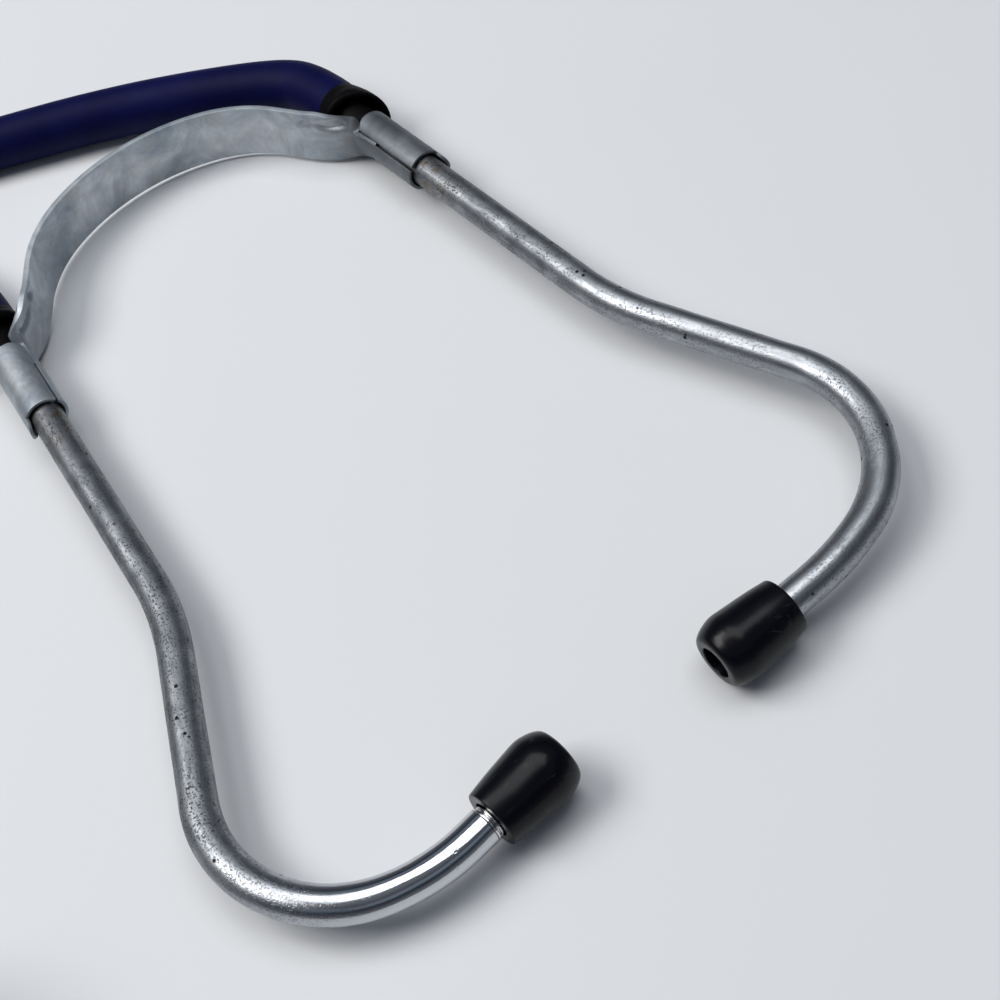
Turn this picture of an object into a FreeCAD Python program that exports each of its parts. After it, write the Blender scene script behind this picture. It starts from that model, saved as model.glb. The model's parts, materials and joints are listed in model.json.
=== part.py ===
"""A stethoscope: sprung binaural headset, two arm tubes, Y-piece, main tube and a dual-head chestpiece.

Millimetres, +Z up. The origin is the centre of the diaphragm's face, on the surface that everything lies on.
The headset lies flat beside the chestpiece, its ear tips towards -Y and its leaf spring towards +Y.
"""

import FreeCAD, Part
import math
import os
import re

import Sketcher
from FreeCAD import Placement, Rotation, Vector

X, Y, Z = Vector(1, 0, 0), Vector(0, 1, 0), Vector(0, 0, 1)

DIMENSIONS = {
    # Headset: where its mid line and its lowest bend lie, and how high its axes lie.
    "headset_x": 128.0,
    "headset_y": -30.0,
    "rest_height": 6.9,
    # Ear tubes: straight, a slight bend outwards, straight, then a long bend inwards that eases at its end.
    # The two were bent by hand, so their last arcs turn by different amounts.
    "ear_tube_dia": 6.0,
    "ear_tube_wall": 0.7,
    "rim_x": 42.4,
    "rim_y": 115.4,
    "sleeve_tilt": 4.2,
    "upper_run": 43.8,
    "outward_radius": 49.8,
    "outward_turn": 18.3,
    "middle_run": 27.0,
    "inward_radius": 22.5,
    "inward_turn": 95.3,
    "end_arc": 13.7,
    "right_end_turn": 16.0,
    "left_end_turn": 25.0,
    "right_end_run": 4.9,
    "left_end_run": 3.0,
    "resting_twist": 1.75,
    # Leaf spring: a flat strip on edge, bent to a wide arc with tighter shoulders.
    "strip_width": 11.8,
    "strip_thickness": 1.0,
    "spring_top_y": 159.9,
    "crown_radius": 39.5,
    "crown_turn": 25.0,
    "shoulder_radius": 27.5,
    "shoulder_turn": 33.0,
    "spring_flat": 5.0,
    "split_gap": 0.05,
    # Sleeves, rolled from the ends of the strip, and the necks that join them to it.
    "sleeve_dia": 8.2,
    "sleeve_bore": 6.1,
    "mouth_bore": 6.9,
    "mouth_depth": 5.0,
    "sleeve_length": 17.4,
    "neck_end_width": 7.0,
    "neck_lead": 2.6,
    "neck_overlap": 4.5,
    "neck_landing": 4.0,
    "seam_turn": 38.0,
    "tongue_length": 2.6,
    "tongue_width": 4.2,
    "seam_width": 0.3,
    "seam_depth": 0.35,
    # Collars between the sleeves and the arm tubes: their mouths slant, open towards the neck and upwards.
    "collar_dia": 12.2,
    "collar_gap": 0.6,
    "collar_length": 9.6,
    "collar_recess": 6.4,
    "collar_hub_dia": 7.0,
    "collar_slant": 25.0,
    "collar_open_side": 40.0,
    "running_gap": 0.05,
    # Threaded inserts in the ends of the ear tubes.
    "insert_flange": 0.7,
    "insert_ring_dia": 5.5,
    "thread_dia": 4.0,
    "thread_root": 3.3,
    "thread_pitch": 0.8,
    "thread_turns": 9,
    "insert_shank": 2.8,
    "sound_bore": 2.0,
    # Ear tips.
    "tip_base_dia": 9.6,
    "tip_max_dia": 11.7,
    "tip_face_dia": 8.2,
    "tip_length": 14.2,
    "tip_shoulder": 10.6,
    "tip_recess_dia": 6.7,
    "tip_mouth_dia": 6.4,
    "tip_throat_dia": 3.0,
    "left_tip_backed_off": 1.5,
    # Tubing.
    "hose_dia": 10.4,
    "hose_bore": 5.0,
    "barb_dia": 5.4,
    "barb_root": 4.4,
    "barb_pitch": 3.5,
    "barb_count": 3,
    # Y-piece: how far its middle lies from the headset's mid line and lowest bend, and where it points.
    "fork_across": -62.0,
    "fork_along": 262.0,
    "fork_heading": 100.0,
    "fork_half_angle": 24.0,
    "fork_leg": 16.0,
    "fork_body_dia": 8.0,
    "fork_flange": 1.4,
    # Chestpiece: diaphragm, its ring, and the head with a bell on top.
    "diaphragm_dia": 40.6,
    "diaphragm_face_dia": 36.4,
    "diaphragm_sheet": 0.4,
    "diaphragm_step": 0.85,
    "ring_dia": 46.0,
    "ring_height": 6.0,
    "ring_lip": 0.8,
    "ring_opening": 37.0,
    "head_dia": 41.0,
    "waist_dia": 22.0,
    "boss_dia": 10.8,
    "boss_front": 13.0,
    "boss_back": 11.6,
    "bell_dia": 32.0,
    "bell_mouth": 29.2,
    "bell_height": 30.2,
    # Stem, measured from the chestpiece's middle, with its clip, seal and index ball.
    "stem_height": 13.5,
    "stem_dia": 7.0,
    "stem_flange_dia": 9.6,
    "stem_back": 13.0,
    "stem_reach": 30.0,
    "clip_dia": 8.2,
    "clip_thickness": 0.75,
    "clip_groove_dia": 5.4,
    "seal_groove_dia": 4.7,
    "seal_section": 1.15,
    "ball_dia": 2.4,
    "ball_back": 4.5,
    "track_dia": 6.2,
    "index_wire": 0.35,
}

doc = FreeCAD.newDocument("stethoscope")
sheet = doc.addObject("Spreadsheet::Sheet", "sheet")
for row, (alias, value) in enumerate(DIMENSIONS.items(), start=1):
    sheet.set(f"A{row}", alias)
    sheet.set(f"B{row}", str(value))
    sheet.setAlias(f"B{row}", alias)
doc.recompute()

nodes = []


def cell(alias):
    """A driving dimension, read from the sheet."""
    return float(sheet.get(alias))


def value(formula):
    """A formula on the sheet's cells, worked out."""
    return float(sheet.evalExpression(formula))


def bound(formula):
    """The same formula, written for another object of the document."""
    return re.sub(r"[a-z_]+", lambda word: "sheet." + word.group(), formula)


def keep(obj, label):
    """Makes an object one of the part's nodes."""
    obj.Label = label
    nodes.append(obj)
    return obj


def origin_plane(body, role):
    return next(feature for feature in body.Origin.OriginFeatures if feature.Role == role)


def new_sketch(body, name, role):
    sketch = body.newObject("Sketcher::SketchObject", name)
    sketch.AttachmentSupport = [(origin_plane(body, role), "")]
    sketch.MapMode = "FlatFace"
    return sketch


def pin_point(sketch, geometry, point, axis, formula):
    """Holds one coordinate of a sketch point at a formula's value; axis is X or Y."""
    number = value(formula)
    if abs(number) < 1e-9:
        sketch.addConstraint(Sketcher.Constraint("PointOnObject", geometry, point, -2 if axis == "X" else -1))
        return
    index = sketch.addConstraint(Sketcher.Constraint("Distance" + axis, -1, 1, geometry, point, number))
    sketch.setExpression(f"Constraints[{index}]", bound(formula))


def outline(sketch, corners):
    """A closed outline of straight sides whose corners are pairs of formulas."""
    points = [Vector(value(across), value(along), 0) for across, along in corners]
    for start, end in zip(points, points[1:] + points[:1]):
        sketch.addGeometry(Part.LineSegment(start, end), False)
    for side in range(len(points)):
        sketch.addConstraint(Sketcher.Constraint("Coincident", side, 2, (side + 1) % len(points), 1))
    for side, (across, along) in enumerate(corners):
        pin_point(sketch, side, 1, "X", across)
        pin_point(sketch, side, 1, "Y", along)


def turned(name, corners):
    """A body turned about its own Z; corners are (radius, height) formulas, heights not negative."""
    body = doc.addObject("PartDesign::Body", name)
    sketch = new_sketch(body, name + "_section", "XZ_Plane")
    outline(sketch, corners)
    turn = body.newObject("PartDesign::Revolution", name + "_turn")
    turn.Profile = sketch
    turn.ReferenceAxis = (sketch, ["V_Axis"])
    turn.Angle = 360
    sketch.Visibility = False
    doc.recompute()
    return body


def facing(point, direction):
    """A placement whose Z runs along direction, from point."""
    return Placement(point, Rotation(Z, direction))


# ---------------------------------------------------------------- plane paths

def walk(start, heading, steps, offset=0.0):
    """Edges of a plane path of straight runs and tangent arcs, and its end point and heading.

    A step is (length,) for a run or (radius, turn) for an arc, turn in degrees and positive to the left.
    The edges may lie offset to the left of the path that the steps describe.
    """
    edges = []
    spot, angle = Vector(start), heading

    def beside(point, degrees):
        left = math.radians(degrees + 90)
        return point + Vector(math.cos(left), math.sin(left), 0) * offset

    for step in steps:
        ahead = Vector(math.cos(math.radians(angle)), math.sin(math.radians(angle)), 0)
        if len(step) == 1:
            target = spot + ahead * step[0]
            edges.append(Part.LineSegment(beside(spot, angle), beside(target, angle)).toShape())
        else:
            radius, turn = step
            side = math.copysign(1.0, turn)
            centre = spot + Vector(-ahead.y, ahead.x, 0) * radius * side
            middle = centre + Rotation(Z, turn / 2).multVec(spot - centre)
            target = centre + Rotation(Z, turn).multVec(spot - centre)
            points = (beside(spot, angle), beside(middle, angle + turn / 2), beside(target, angle + turn))
            edges.append(Part.Arc(*points).toShape())
            angle += turn
        spot = target
    return edges, spot, angle


def band(start, heading, steps, thickness):
    """A flat face that follows a plane path with the given thickness about it."""
    left, end, last = walk(start, heading, steps, thickness / 2)
    right = walk(start, heading, steps, -thickness / 2)[0]
    caps = [Part.LineSegment(left[0].Vertexes[0].Point, right[0].Vertexes[0].Point).toShape(),
            Part.LineSegment(left[-1].Vertexes[-1].Point, right[-1].Vertexes[-1].Point).toShape()]
    return Part.Face(Part.Wire(Part.__sortEdges__(left + right + caps)))


def plain(name, shape):
    """A helper shape of the document, made by Part's own functions."""
    feature = doc.addObject("Part::Feature", name)
    feature.Shape = shape
    return feature


def cylinder(name, radius, height, placement):
    """A cylinder whose radius and height are formulas."""
    solid = doc.addObject("Part::Cylinder", name)
    solid.setExpression("Radius", bound(radius))
    solid.setExpression("Height", bound(height))
    solid.Placement = placement
    return solid


def box(name, length, width, height, placement):
    solid = doc.addObject("Part::Box", name)
    for side, formula in (("Length", length), ("Width", width), ("Height", height)):
        solid.setExpression(side, bound(formula))
    solid.Placement = placement
    return solid


def cut(name, base, tool):
    result = doc.addObject("Part::Cut", name)
    result.Base, result.Tool = base, tool
    return result


def common(name, base, tool):
    result = doc.addObject("Part::Common", name)
    result.Base, result.Tool = base, tool
    return result


def fused(name, parts):
    result = doc.addObject("Part::MultiFuse", name)
    result.Shapes = parts
    return result


def pipe(name, spine, start, direction, diameter):
    """A round bar of a formula's diameter, swept along a spine."""
    section = doc.addObject("Part::Circle", name + "_circle")
    section.setExpression("Radius", bound(f"({diameter}) / 2"))
    section.Placement = facing(start, direction)
    sweep = doc.addObject("Part::Sweep", name)
    sweep.Sections = [section]
    sweep.Spine = (spine, [f"Edge{count + 1}" for count in range(len(spine.Shape.Edges))])
    sweep.Solid = True
    sweep.Frenet = False
    return sweep


# ---------------------------------------------------------------- headset geometry

def headset(across, along, height=None):
    """A point given from the headset's mid line and lowest bend; height is the axes' own unless stated."""
    level = cell("rest_height") if height is None else height
    return Vector(cell("headset_x") + across, cell("headset_y") + along, level)


def mirrored(vector):
    """The same direction on the headset's other side."""
    return Vector(-vector.x, vector.y, vector.z)


tilt = math.radians(cell("sleeve_tilt"))
DOWN = Vector(math.sin(tilt), -math.cos(tilt), 0)      # along the right sleeve, towards the ear tip
SIDES = {"right": 1, "left": -1}


def on_sleeve(side, distance):
    """A point of a sleeve's axis, that far above its rim."""
    across = cell("rim_x") - DOWN.x * distance
    return headset(SIDES[side] * across, cell("rim_y") - DOWN.y * distance)


def sleeve_direction(side):
    return DOWN if side == "right" else mirrored(DOWN)


COLLAR_END = cell("sleeve_length") + cell("collar_gap") + cell("collar_length")
TUBE_TOP = COLLAR_END - 1.0


def tube_path(side):
    """Edges of an ear tube's axis, from inside the collar to the ear tip, with its end and end direction."""
    flip = SIDES[side]
    end_turn = cell(f"{side}_end_turn")
    steps = [(TUBE_TOP + cell("upper_run"),), (cell("outward_radius"), flip * cell("outward_turn")),
             (cell("middle_run"),), (cell("inward_radius"), -flip * cell("inward_turn")),
             (cell("end_arc") / math.radians(end_turn), -flip * end_turn), (cell(f"{side}_end_run"),)]
    down = sleeve_direction(side)
    edges, end, heading = walk(on_sleeve(side, TUBE_TOP), math.degrees(math.atan2(down.y, down.x)), steps)
    return edges, end, Vector(math.cos(math.radians(heading)), math.sin(math.radians(heading)), 0)


def twisted(side, placement=Placement()):
    """A placement turned with the ear tube in its sleeve until the ear tip meets the resting surface."""
    turn = Rotation(sleeve_direction(side), SIDES[side] * cell("resting_twist"))
    return Placement(Vector(), turn, on_sleeve(side, 0)) * placement


def ear_tube(side):
    edges = tube_path(side)[0]
    start = on_sleeve(side, TUBE_TOP)
    spine = plain(f"{side}_ear_tube_axis", Part.Wire(edges))
    wall = pipe(f"{side}_ear_tube_outside", spine, start, sleeve_direction(side), "ear_tube_dia")
    hole = pipe(f"{side}_ear_tube_inside", spine, start, sleeve_direction(side),
                "ear_tube_dia - 2 * ear_tube_wall")
    tube = cut(f"{side}_ear_tube_hollow", wall, hole)
    tube.Placement = twisted(side)
    return keep(tube, f"{side}_ear_tube")


def thread_corners():
    """Crests and roots of the insert's thread, from its flange outwards."""
    corners = []
    for turn in range(int(cell("thread_turns"))):
        low = f"insert_shank + insert_flange + 1.2 + {turn} * thread_pitch"
        corners += [("thread_root / 2", low), ("thread_dia / 2", f"{low} + thread_pitch * 0.4"),
                    ("thread_dia / 2", f"{low} + thread_pitch * 0.6")]
    return corners


def threaded_insert(side):
    """A brass insert: shank in the tube's bore, flange on its end, a fine ring, and the tip's thread."""
    shank = "ear_tube_dia / 2 - ear_tube_wall"
    flange = "insert_shank + insert_flange"
    corners = [("sound_bore / 2", "0"), (shank, "0"), (shank, "insert_shank"),
               ("ear_tube_dia / 2", "insert_shank"), ("ear_tube_dia / 2", flange),
               ("thread_root / 2 + 0.3", flange), ("thread_root / 2 + 0.3", f"{flange} + 0.3"),
               ("insert_ring_dia / 2", f"{flange} + 0.3"), ("insert_ring_dia / 2", f"{flange} + 0.8"),
               ("thread_root / 2", f"{flange} + 0.8")]
    top = f"{flange} + 1.2 + thread_turns * thread_pitch"
    corners += thread_corners() + [("thread_root / 2", top), ("sound_bore / 2", top)]
    body = turned(f"{side}_tip_insert", corners)
    end, towards = tube_path(side)[1:]
    body.Placement = twisted(side, facing(end - towards * cell("insert_shank"), towards))
    return keep(body, f"{side}_tip_insert")


def ear_tip(side):
    """A rubber ear tip: a cone that widens outwards to a rounded shoulder, with a funnel-shaped mouth."""
    bore = "thread_dia / 2 + running_gap"
    deep = "insert_flange + 1.9 + thread_turns * thread_pitch"
    corners = [("tip_recess_dia / 2", "0"), ("tip_base_dia / 2", "0"), ("tip_base_dia / 2 + 0.55", "3"),
               ("tip_base_dia / 2 + 0.95", "6"), ("tip_max_dia / 2 - 0.05", "8.6"),
               ("tip_max_dia / 2", "tip_shoulder"), ("tip_max_dia / 2 - 0.5", "tip_length - 2"),
               ("tip_max_dia / 2 - 1.3", "tip_length - 0.8"), ("tip_face_dia / 2", "tip_length"),
               ("tip_mouth_dia / 2", "tip_length"), ("tip_throat_dia / 2", "tip_length - 3.2"),
               ("tip_throat_dia / 2", deep), (bore, deep), (bore, "1.8"), ("tip_recess_dia / 2", "1.8")]
    body = turned(f"{side}_ear_tip", corners)
    end, towards = tube_path(side)[1:]
    seat = -0.15 + (cell("left_tip_backed_off") if side == "left" else 0.0)
    body.Placement = twisted(side, facing(end + towards * seat, towards))
    return keep(body, f"{side}_ear_tip")


# ---------------------------------------------------------------- spring and sleeves

CROWN = (cell("crown_radius"), -cell("crown_turn"))
SHOULDER = (cell("shoulder_radius"), -cell("shoulder_turn"))


def spring_foot():
    """Where the right half of the spring ends, and its heading there."""
    start = headset(0, cell("spring_top_y"))
    return walk(start, 0, [CROWN, SHOULDER, (cell("spring_flat"),)])[1:]


def leaf_spring():
    """The whole arc, from the left foot over the crown to the right foot, as one strip on edge."""
    foot, heading = spring_foot()
    left = Vector(2 * cell("headset_x") - foot.x, foot.y, 0)
    flat = (cell("spring_flat"),)
    steps = [flat, SHOULDER, CROWN, CROWN, SHOULDER, flat]
    face = plain("leaf_spring_plan", band(left, -heading, steps, cell("strip_thickness")))
    strip = doc.addObject("Part::Extrusion", "leaf_spring_strip")
    strip.Base = face
    strip.DirMode = "Custom"
    strip.Dir = Z
    strip.setExpression("LengthFwd", "sheet.strip_width")
    strip.Solid = True
    strip.Placement = Placement(Z * (cell("rest_height") - cell("strip_width") / 2), Rotation())
    return keep(strip, "leaf_spring")


def inwards(side):
    """The direction from a sleeve's axis towards the headset's mid line."""
    return Vector(-SIDES[side] * abs(DOWN.y), -abs(DOWN.x), 0)


def neck(side):
    """The S-shaped neck that carries the strip's end into the sleeve's inner wall, narrowing as it goes."""
    foot, heading = spring_foot()
    ahead = Vector(math.cos(math.radians(heading)), math.sin(math.radians(heading)), 0)
    inner = inwards("right")
    wall = (cell("sleeve_dia") - cell("strip_thickness")) / 2 - 0.05
    land = on_sleeve("right", cell("sleeve_length") - cell("neck_overlap")) + inner * wall
    enter = land - DOWN * cell("neck_landing")
    halfway = (foot + ahead * (cell("neck_lead") + 0.8) + enter) * 0.5
    stations = [foot + ahead * cell("split_gap"), foot + ahead * cell("neck_lead"), halfway, enter, land]
    narrowing = [0.0, 0.25, 0.7, 1.0, 1.0]
    sections = []
    for count, (station, share) in enumerate(zip(stations, narrowing)):
        before, after = stations[max(count - 1, 0)], stations[min(count + 1, len(stations) - 1)]
        along = (after - before).normalize()
        if count == 0:
            along = ahead
        if count >= len(stations) - 2:
            along = DOWN
        width = cell("strip_width") + share * (cell("neck_end_width") - cell("strip_width"))
        across = Vector(-along.y, along.x, 0) * cell("strip_thickness") / 2
        up = Z * width / 2
        base = Vector(station.x, station.y, cell("rest_height"))
        corners = [base - across - up, base + across - up, base + across + up, base - across + up]
        if side == "left":
            corners = [Vector(2 * cell("headset_x") - corner.x, corner.y, corner.z) for corner in corners]
        sections.append(plain(f"{side}_neck_section_{count}", Part.makePolygon(corners + corners[:1])))
    loft = doc.addObject("Part::Loft", f"{side}_neck")
    loft.Sections = sections
    loft.Solid = True
    loft.Ruled = True
    return loft


def spring_sleeve(side):
    """A sleeve rolled from the strip's end: bore, wide mouth, seam, tongue past the rim, and its neck."""
    down = sleeve_direction(side)
    rim, top = on_sleeve(side, 0), on_sleeve(side, cell("sleeve_length"))
    inner = inwards(side)
    shell = cylinder(f"{side}_sleeve_outside", "sleeve_dia / 2", "sleeve_length", facing(rim, down * -1))
    long_shell = cylinder(f"{side}_tongue_round", "sleeve_dia / 2", "tongue_length + 3",
                          facing(rim + down * cell("tongue_length"), down * -1))
    window = cylinder(f"{side}_tongue_window", "tongue_width / 2", "sleeve_dia",
                      facing(rim + down * (cell("tongue_length") - cell("tongue_width") / 2), inner * -1))
    tongue = common(f"{side}_tongue", long_shell, window)
    solid = fused(f"{side}_sleeve_solid", [shell, tongue, neck(side)])
    bore = cylinder(f"{side}_sleeve_bore", "sleeve_bore / 2", "sleeve_length + 2", facing(top - down, down))
    mouth = cylinder(f"{side}_sleeve_mouth", "mouth_bore / 2", "mouth_depth + tongue_length + 1",
                     facing(rim - down * cell("mouth_depth"), down))
    seam_out = Rotation(down, SIDES[side] * cell("seam_turn")).multVec(inner)
    seam_side = down.cross(seam_out)
    corner = rim + down + seam_out * (cell("sleeve_dia") / 2 - cell("seam_depth"))
    corner = corner - seam_side * cell("seam_width") / 2
    turn = Rotation(seam_out, seam_side, down * -1, "XYZ")
    seam = box(f"{side}_seam", "seam_depth + 1", "seam_width", "sleeve_length - 2", Placement(corner, turn))
    tools = fused(f"{side}_sleeve_tools", [bore, mouth, seam])
    return keep(cut(f"{side}_sleeve_cut", solid, tools), f"{side}_spring_sleeve")


def tube_collar(side):
    """A rubber collar: a slanting cup that faces the sleeve, a hub on the tube, and a nose for the hose."""
    up = sleeve_direction(side) * -1
    start = on_sleeve(side, cell("sleeve_length") + cell("collar_gap"))
    corners = [("0", "collar_recess"), ("collar_dia / 2 - 1.6", "collar_recess"),
               ("collar_dia / 2 - 0.9", "0"), ("collar_dia / 2 - 0.3", "0"), ("collar_dia / 2", "0.5"),
               ("collar_dia / 2", "collar_length * 0.4"), ("hose_dia / 2 + 0.4", "collar_length * 0.8"),
               ("hose_dia / 2", "collar_length"), ("0", "collar_length")]
    cup = turned(f"{side}_collar_cup", corners)
    cup.Placement = facing(start, up)
    # The slanting mouth: everything of the cup before this plane goes.
    slant, open_side = math.radians(cell("collar_slant")), math.radians(cell("collar_open_side"))
    opening = inwards(side) * math.cos(open_side) + Z * math.sin(open_side)
    along = opening * math.cos(slant) + up * math.sin(slant)
    normal = up * math.cos(slant) - opening * math.sin(slant)
    reach = cell("collar_dia")
    middle = start + up * (math.tan(slant) * cell("collar_dia") / 2)
    corner = middle - (along + normal.cross(along) + normal) * reach
    front = box(f"{side}_collar_front", "collar_dia * 2", "collar_dia * 2", "collar_dia",
                Placement(corner, Rotation(along, normal.cross(along), normal, "ZXY")))
    hub = cylinder(f"{side}_collar_hub", "collar_hub_dia / 2", "collar_length - 1", facing(start, up))
    solid = fused(f"{side}_collar_solid", [cut(f"{side}_collar_slanted", cup, front), hub])
    bore = cylinder(f"{side}_collar_bore", "ear_tube_dia / 2 + running_gap", "collar_length + 2",
                    facing(start - up, up))
    return keep(cut(f"{side}_collar_bored", solid, bore), f"{side}_tube_collar")


# ---------------------------------------------------------------- tubing

def rounded_route(points):
    """Straight runs joined by tangent arcs, each as large as its two runs allow, and the arcs' radii."""
    edges, radii = [], []
    spot = points[0]
    for before, corner, after in zip(points, points[1:], points[2:]):
        back, ahead = before - corner, after - corner
        reach = 0.45 * min(back.Length, ahead.Length)
        back.normalize()
        ahead.normalize()
        half_turn = (math.pi - back.getAngle(ahead)) / 2
        radius = reach / math.tan(half_turn)
        inwards = (back + ahead).normalize()
        middle = corner + inwards * (radius / math.cos(half_turn) - radius)
        enter, leave = corner + back * reach, corner + ahead * reach
        edges.append(Part.LineSegment(spot, enter).toShape())
        edges.append(Part.Arc(enter, middle, leave).toShape())
        radii.append(radius)
        spot = leave
    edges.append(Part.LineSegment(spot, points[-1]).toShape())
    return edges, radii


def hose(name, points):
    """A hollow tube along a route; prints its length, its tightest radii and its volume against the ideal."""
    edges, radii = rounded_route(points)
    spine = plain(name + "_axis", Part.Wire(edges))
    start, direction = points[0], points[1] - points[0]
    wall = pipe(name + "_outside", spine, start, direction, "hose_dia")
    hole = pipe(name + "_inside", spine, start, direction, "hose_bore")
    tube = keep(cut(name + "_hollow", wall, hole), name)
    doc.recompute()
    length = spine.Shape.Length
    section = math.pi / 4 * (cell("hose_dia") ** 2 - cell("hose_bore") ** 2)
    print(f"{name}: length {length:.1f}, volume/ideal {tube.Shape.Volume / (section * length):.4f}, "
          f"radii {', '.join(f'{radius:.0f}' for radius in radii)}")
    return tube


LYING = cell("hose_dia") / 2 + 0.03


def turned_by(degrees):
    """The plan direction at an angle from +X."""
    return Vector(math.cos(math.radians(degrees)), math.sin(math.radians(degrees)), 0)


FORK = headset(cell("fork_across"), cell("fork_along"), LYING)
FORK_LEGS = {
    "main": turned_by(cell("fork_heading")),
    "right": turned_by(cell("fork_heading") + 180 + cell("fork_half_angle")),
    "left": turned_by(cell("fork_heading") + 180 - cell("fork_half_angle")),
}


def fork_end(leg, further=0.0):
    return FORK + FORK_LEGS[leg] * (cell("fork_leg") + further)


def right_arm_route():
    return [on_sleeve("right", COLLAR_END), on_sleeve("right", COLLAR_END + 8.5),
            headset(36.0, 158.8, 6.3), headset(22.2, 170.3, 5.4), headset(4.0, 181.6, LYING),
            headset(-15.0, 190.3, LYING), headset(-31.0, 197.5, LYING), headset(-42.0, 212.5, LYING),
            fork_end("right", 14.0), fork_end("right")]


def left_arm_route():
    return [on_sleeve("left", COLLAR_END), on_sleeve("left", COLLAR_END + 10.0),
            headset(-43.0, 168.0, 6.2), headset(-55.0, 180.5, 5.4), headset(-70.0, 189.0, LYING),
            headset(-82.0, 202.0, LYING), headset(-83.0, 218.5, LYING), fork_end("left", 16.0),
            fork_end("left")]


def main_route():
    stem = Vector(0, cell("stem_reach"), cell("stem_height"))
    return [fork_end("main"), fork_end("main", 14.0), headset(-70.5, 308.0, LYING),
            headset(-81.0, 322.0, LYING), headset(-98.0, 327.0, LYING), headset(-114.0, 319.5, LYING),
            headset(-123.5, 303.0, LYING), headset(-128.0, 281.0, LYING), headset(-129.5, 256.0, LYING),
            headset(-128.5, 229.0, LYING), headset(-125.5, 201.0, LYING), headset(-124.0, 172.0, LYING),
            headset(-126.5, 144.0, LYING + 0.2), headset(-130.5, 119.0, 6.1), headset(-129.3, 97.0, 9.0),
            stem + Y * 18.0, stem]


def barbs(start, count):
    """Corners of a hose barb's rings along a height formula, count of them, and where they end."""
    corners = []
    for number in range(count):
        corners += [("barb_root / 2", f"{start} + {number} * barb_pitch"),
                    ("barb_dia / 2", f"{start} + {number} * barb_pitch + 0.6"),
                    ("barb_dia / 2", f"{start} + {number} * barb_pitch + 1.0")]
    return corners, f"{start} + {count} * barb_pitch"


def y_piece():
    """A Y-piece: three barbed legs on a round body, bored through."""
    rings, tip = barbs("fork_leg", int(cell("barb_count")))
    corners = [("0", "0"), ("fork_body_dia / 2", "0"), ("fork_body_dia / 2", "fork_leg - fork_flange - 1"),
               ("hose_dia / 2", "fork_leg - fork_flange"), ("hose_dia / 2", "fork_leg")]
    corners += rings + [("barb_root / 2", tip), ("0", tip)]
    legs, bores = [], []
    for leg, direction in FORK_LEGS.items():
        body = turned(f"y_piece_{leg}_leg", corners)
        body.Placement = facing(FORK, direction)
        legs.append(body)
        bores.append(cylinder(f"y_piece_{leg}_bore", "hose_bore / 2 - 1.0", "fork_leg + 12",
                              facing(FORK, direction)))
    knuckle = doc.addObject("Part::Sphere", "y_piece_knuckle")
    knuckle.setExpression("Radius", "sheet.fork_body_dia / 2")
    knuckle.Placement = Placement(FORK, Rotation())
    solid = fused("y_piece_solid", legs + [knuckle])
    return keep(cut("y_piece_bored", solid, fused("y_piece_bores", bores)), "y_connector")


# ---------------------------------------------------------------- chestpiece

STEM_AXIS = Vector(0, 0, cell("stem_height"))


def diaphragm():
    """A thin stepped disc: its face is flush with the ring, its rim is held under the head."""
    face, rim = "diaphragm_face_dia / 2", "diaphragm_dia / 2"
    top = "diaphragm_step + diaphragm_sheet"
    corners = [("0", "0"), (face, "0"), (face, "diaphragm_step"), (rim, "diaphragm_step"), (rim, top),
               ("diaphragm_face_dia / 2 - diaphragm_sheet", top),
               ("diaphragm_face_dia / 2 - diaphragm_sheet", "diaphragm_sheet"), ("0", "diaphragm_sheet")]
    return keep(turned("diaphragm_disc", corners), "diaphragm")


def diaphragm_ring():
    """The threaded ring that holds the diaphragm: a band with a lip under the disc's rim."""
    inside = "head_dia / 2 + 0.1"
    corners = [("ring_opening / 2", "0"), ("ring_dia / 2 - 0.6", "0"), ("ring_dia / 2", "0.6"),
               ("ring_dia / 2", "ring_height - 0.6"), ("ring_dia / 2 - 0.6", "ring_height"),
               (inside, "ring_height"), (inside, "ring_lip"), ("ring_opening / 2", "ring_lip")]
    return keep(turned("diaphragm_ring_band", corners), "diaphragm_ring")


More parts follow.
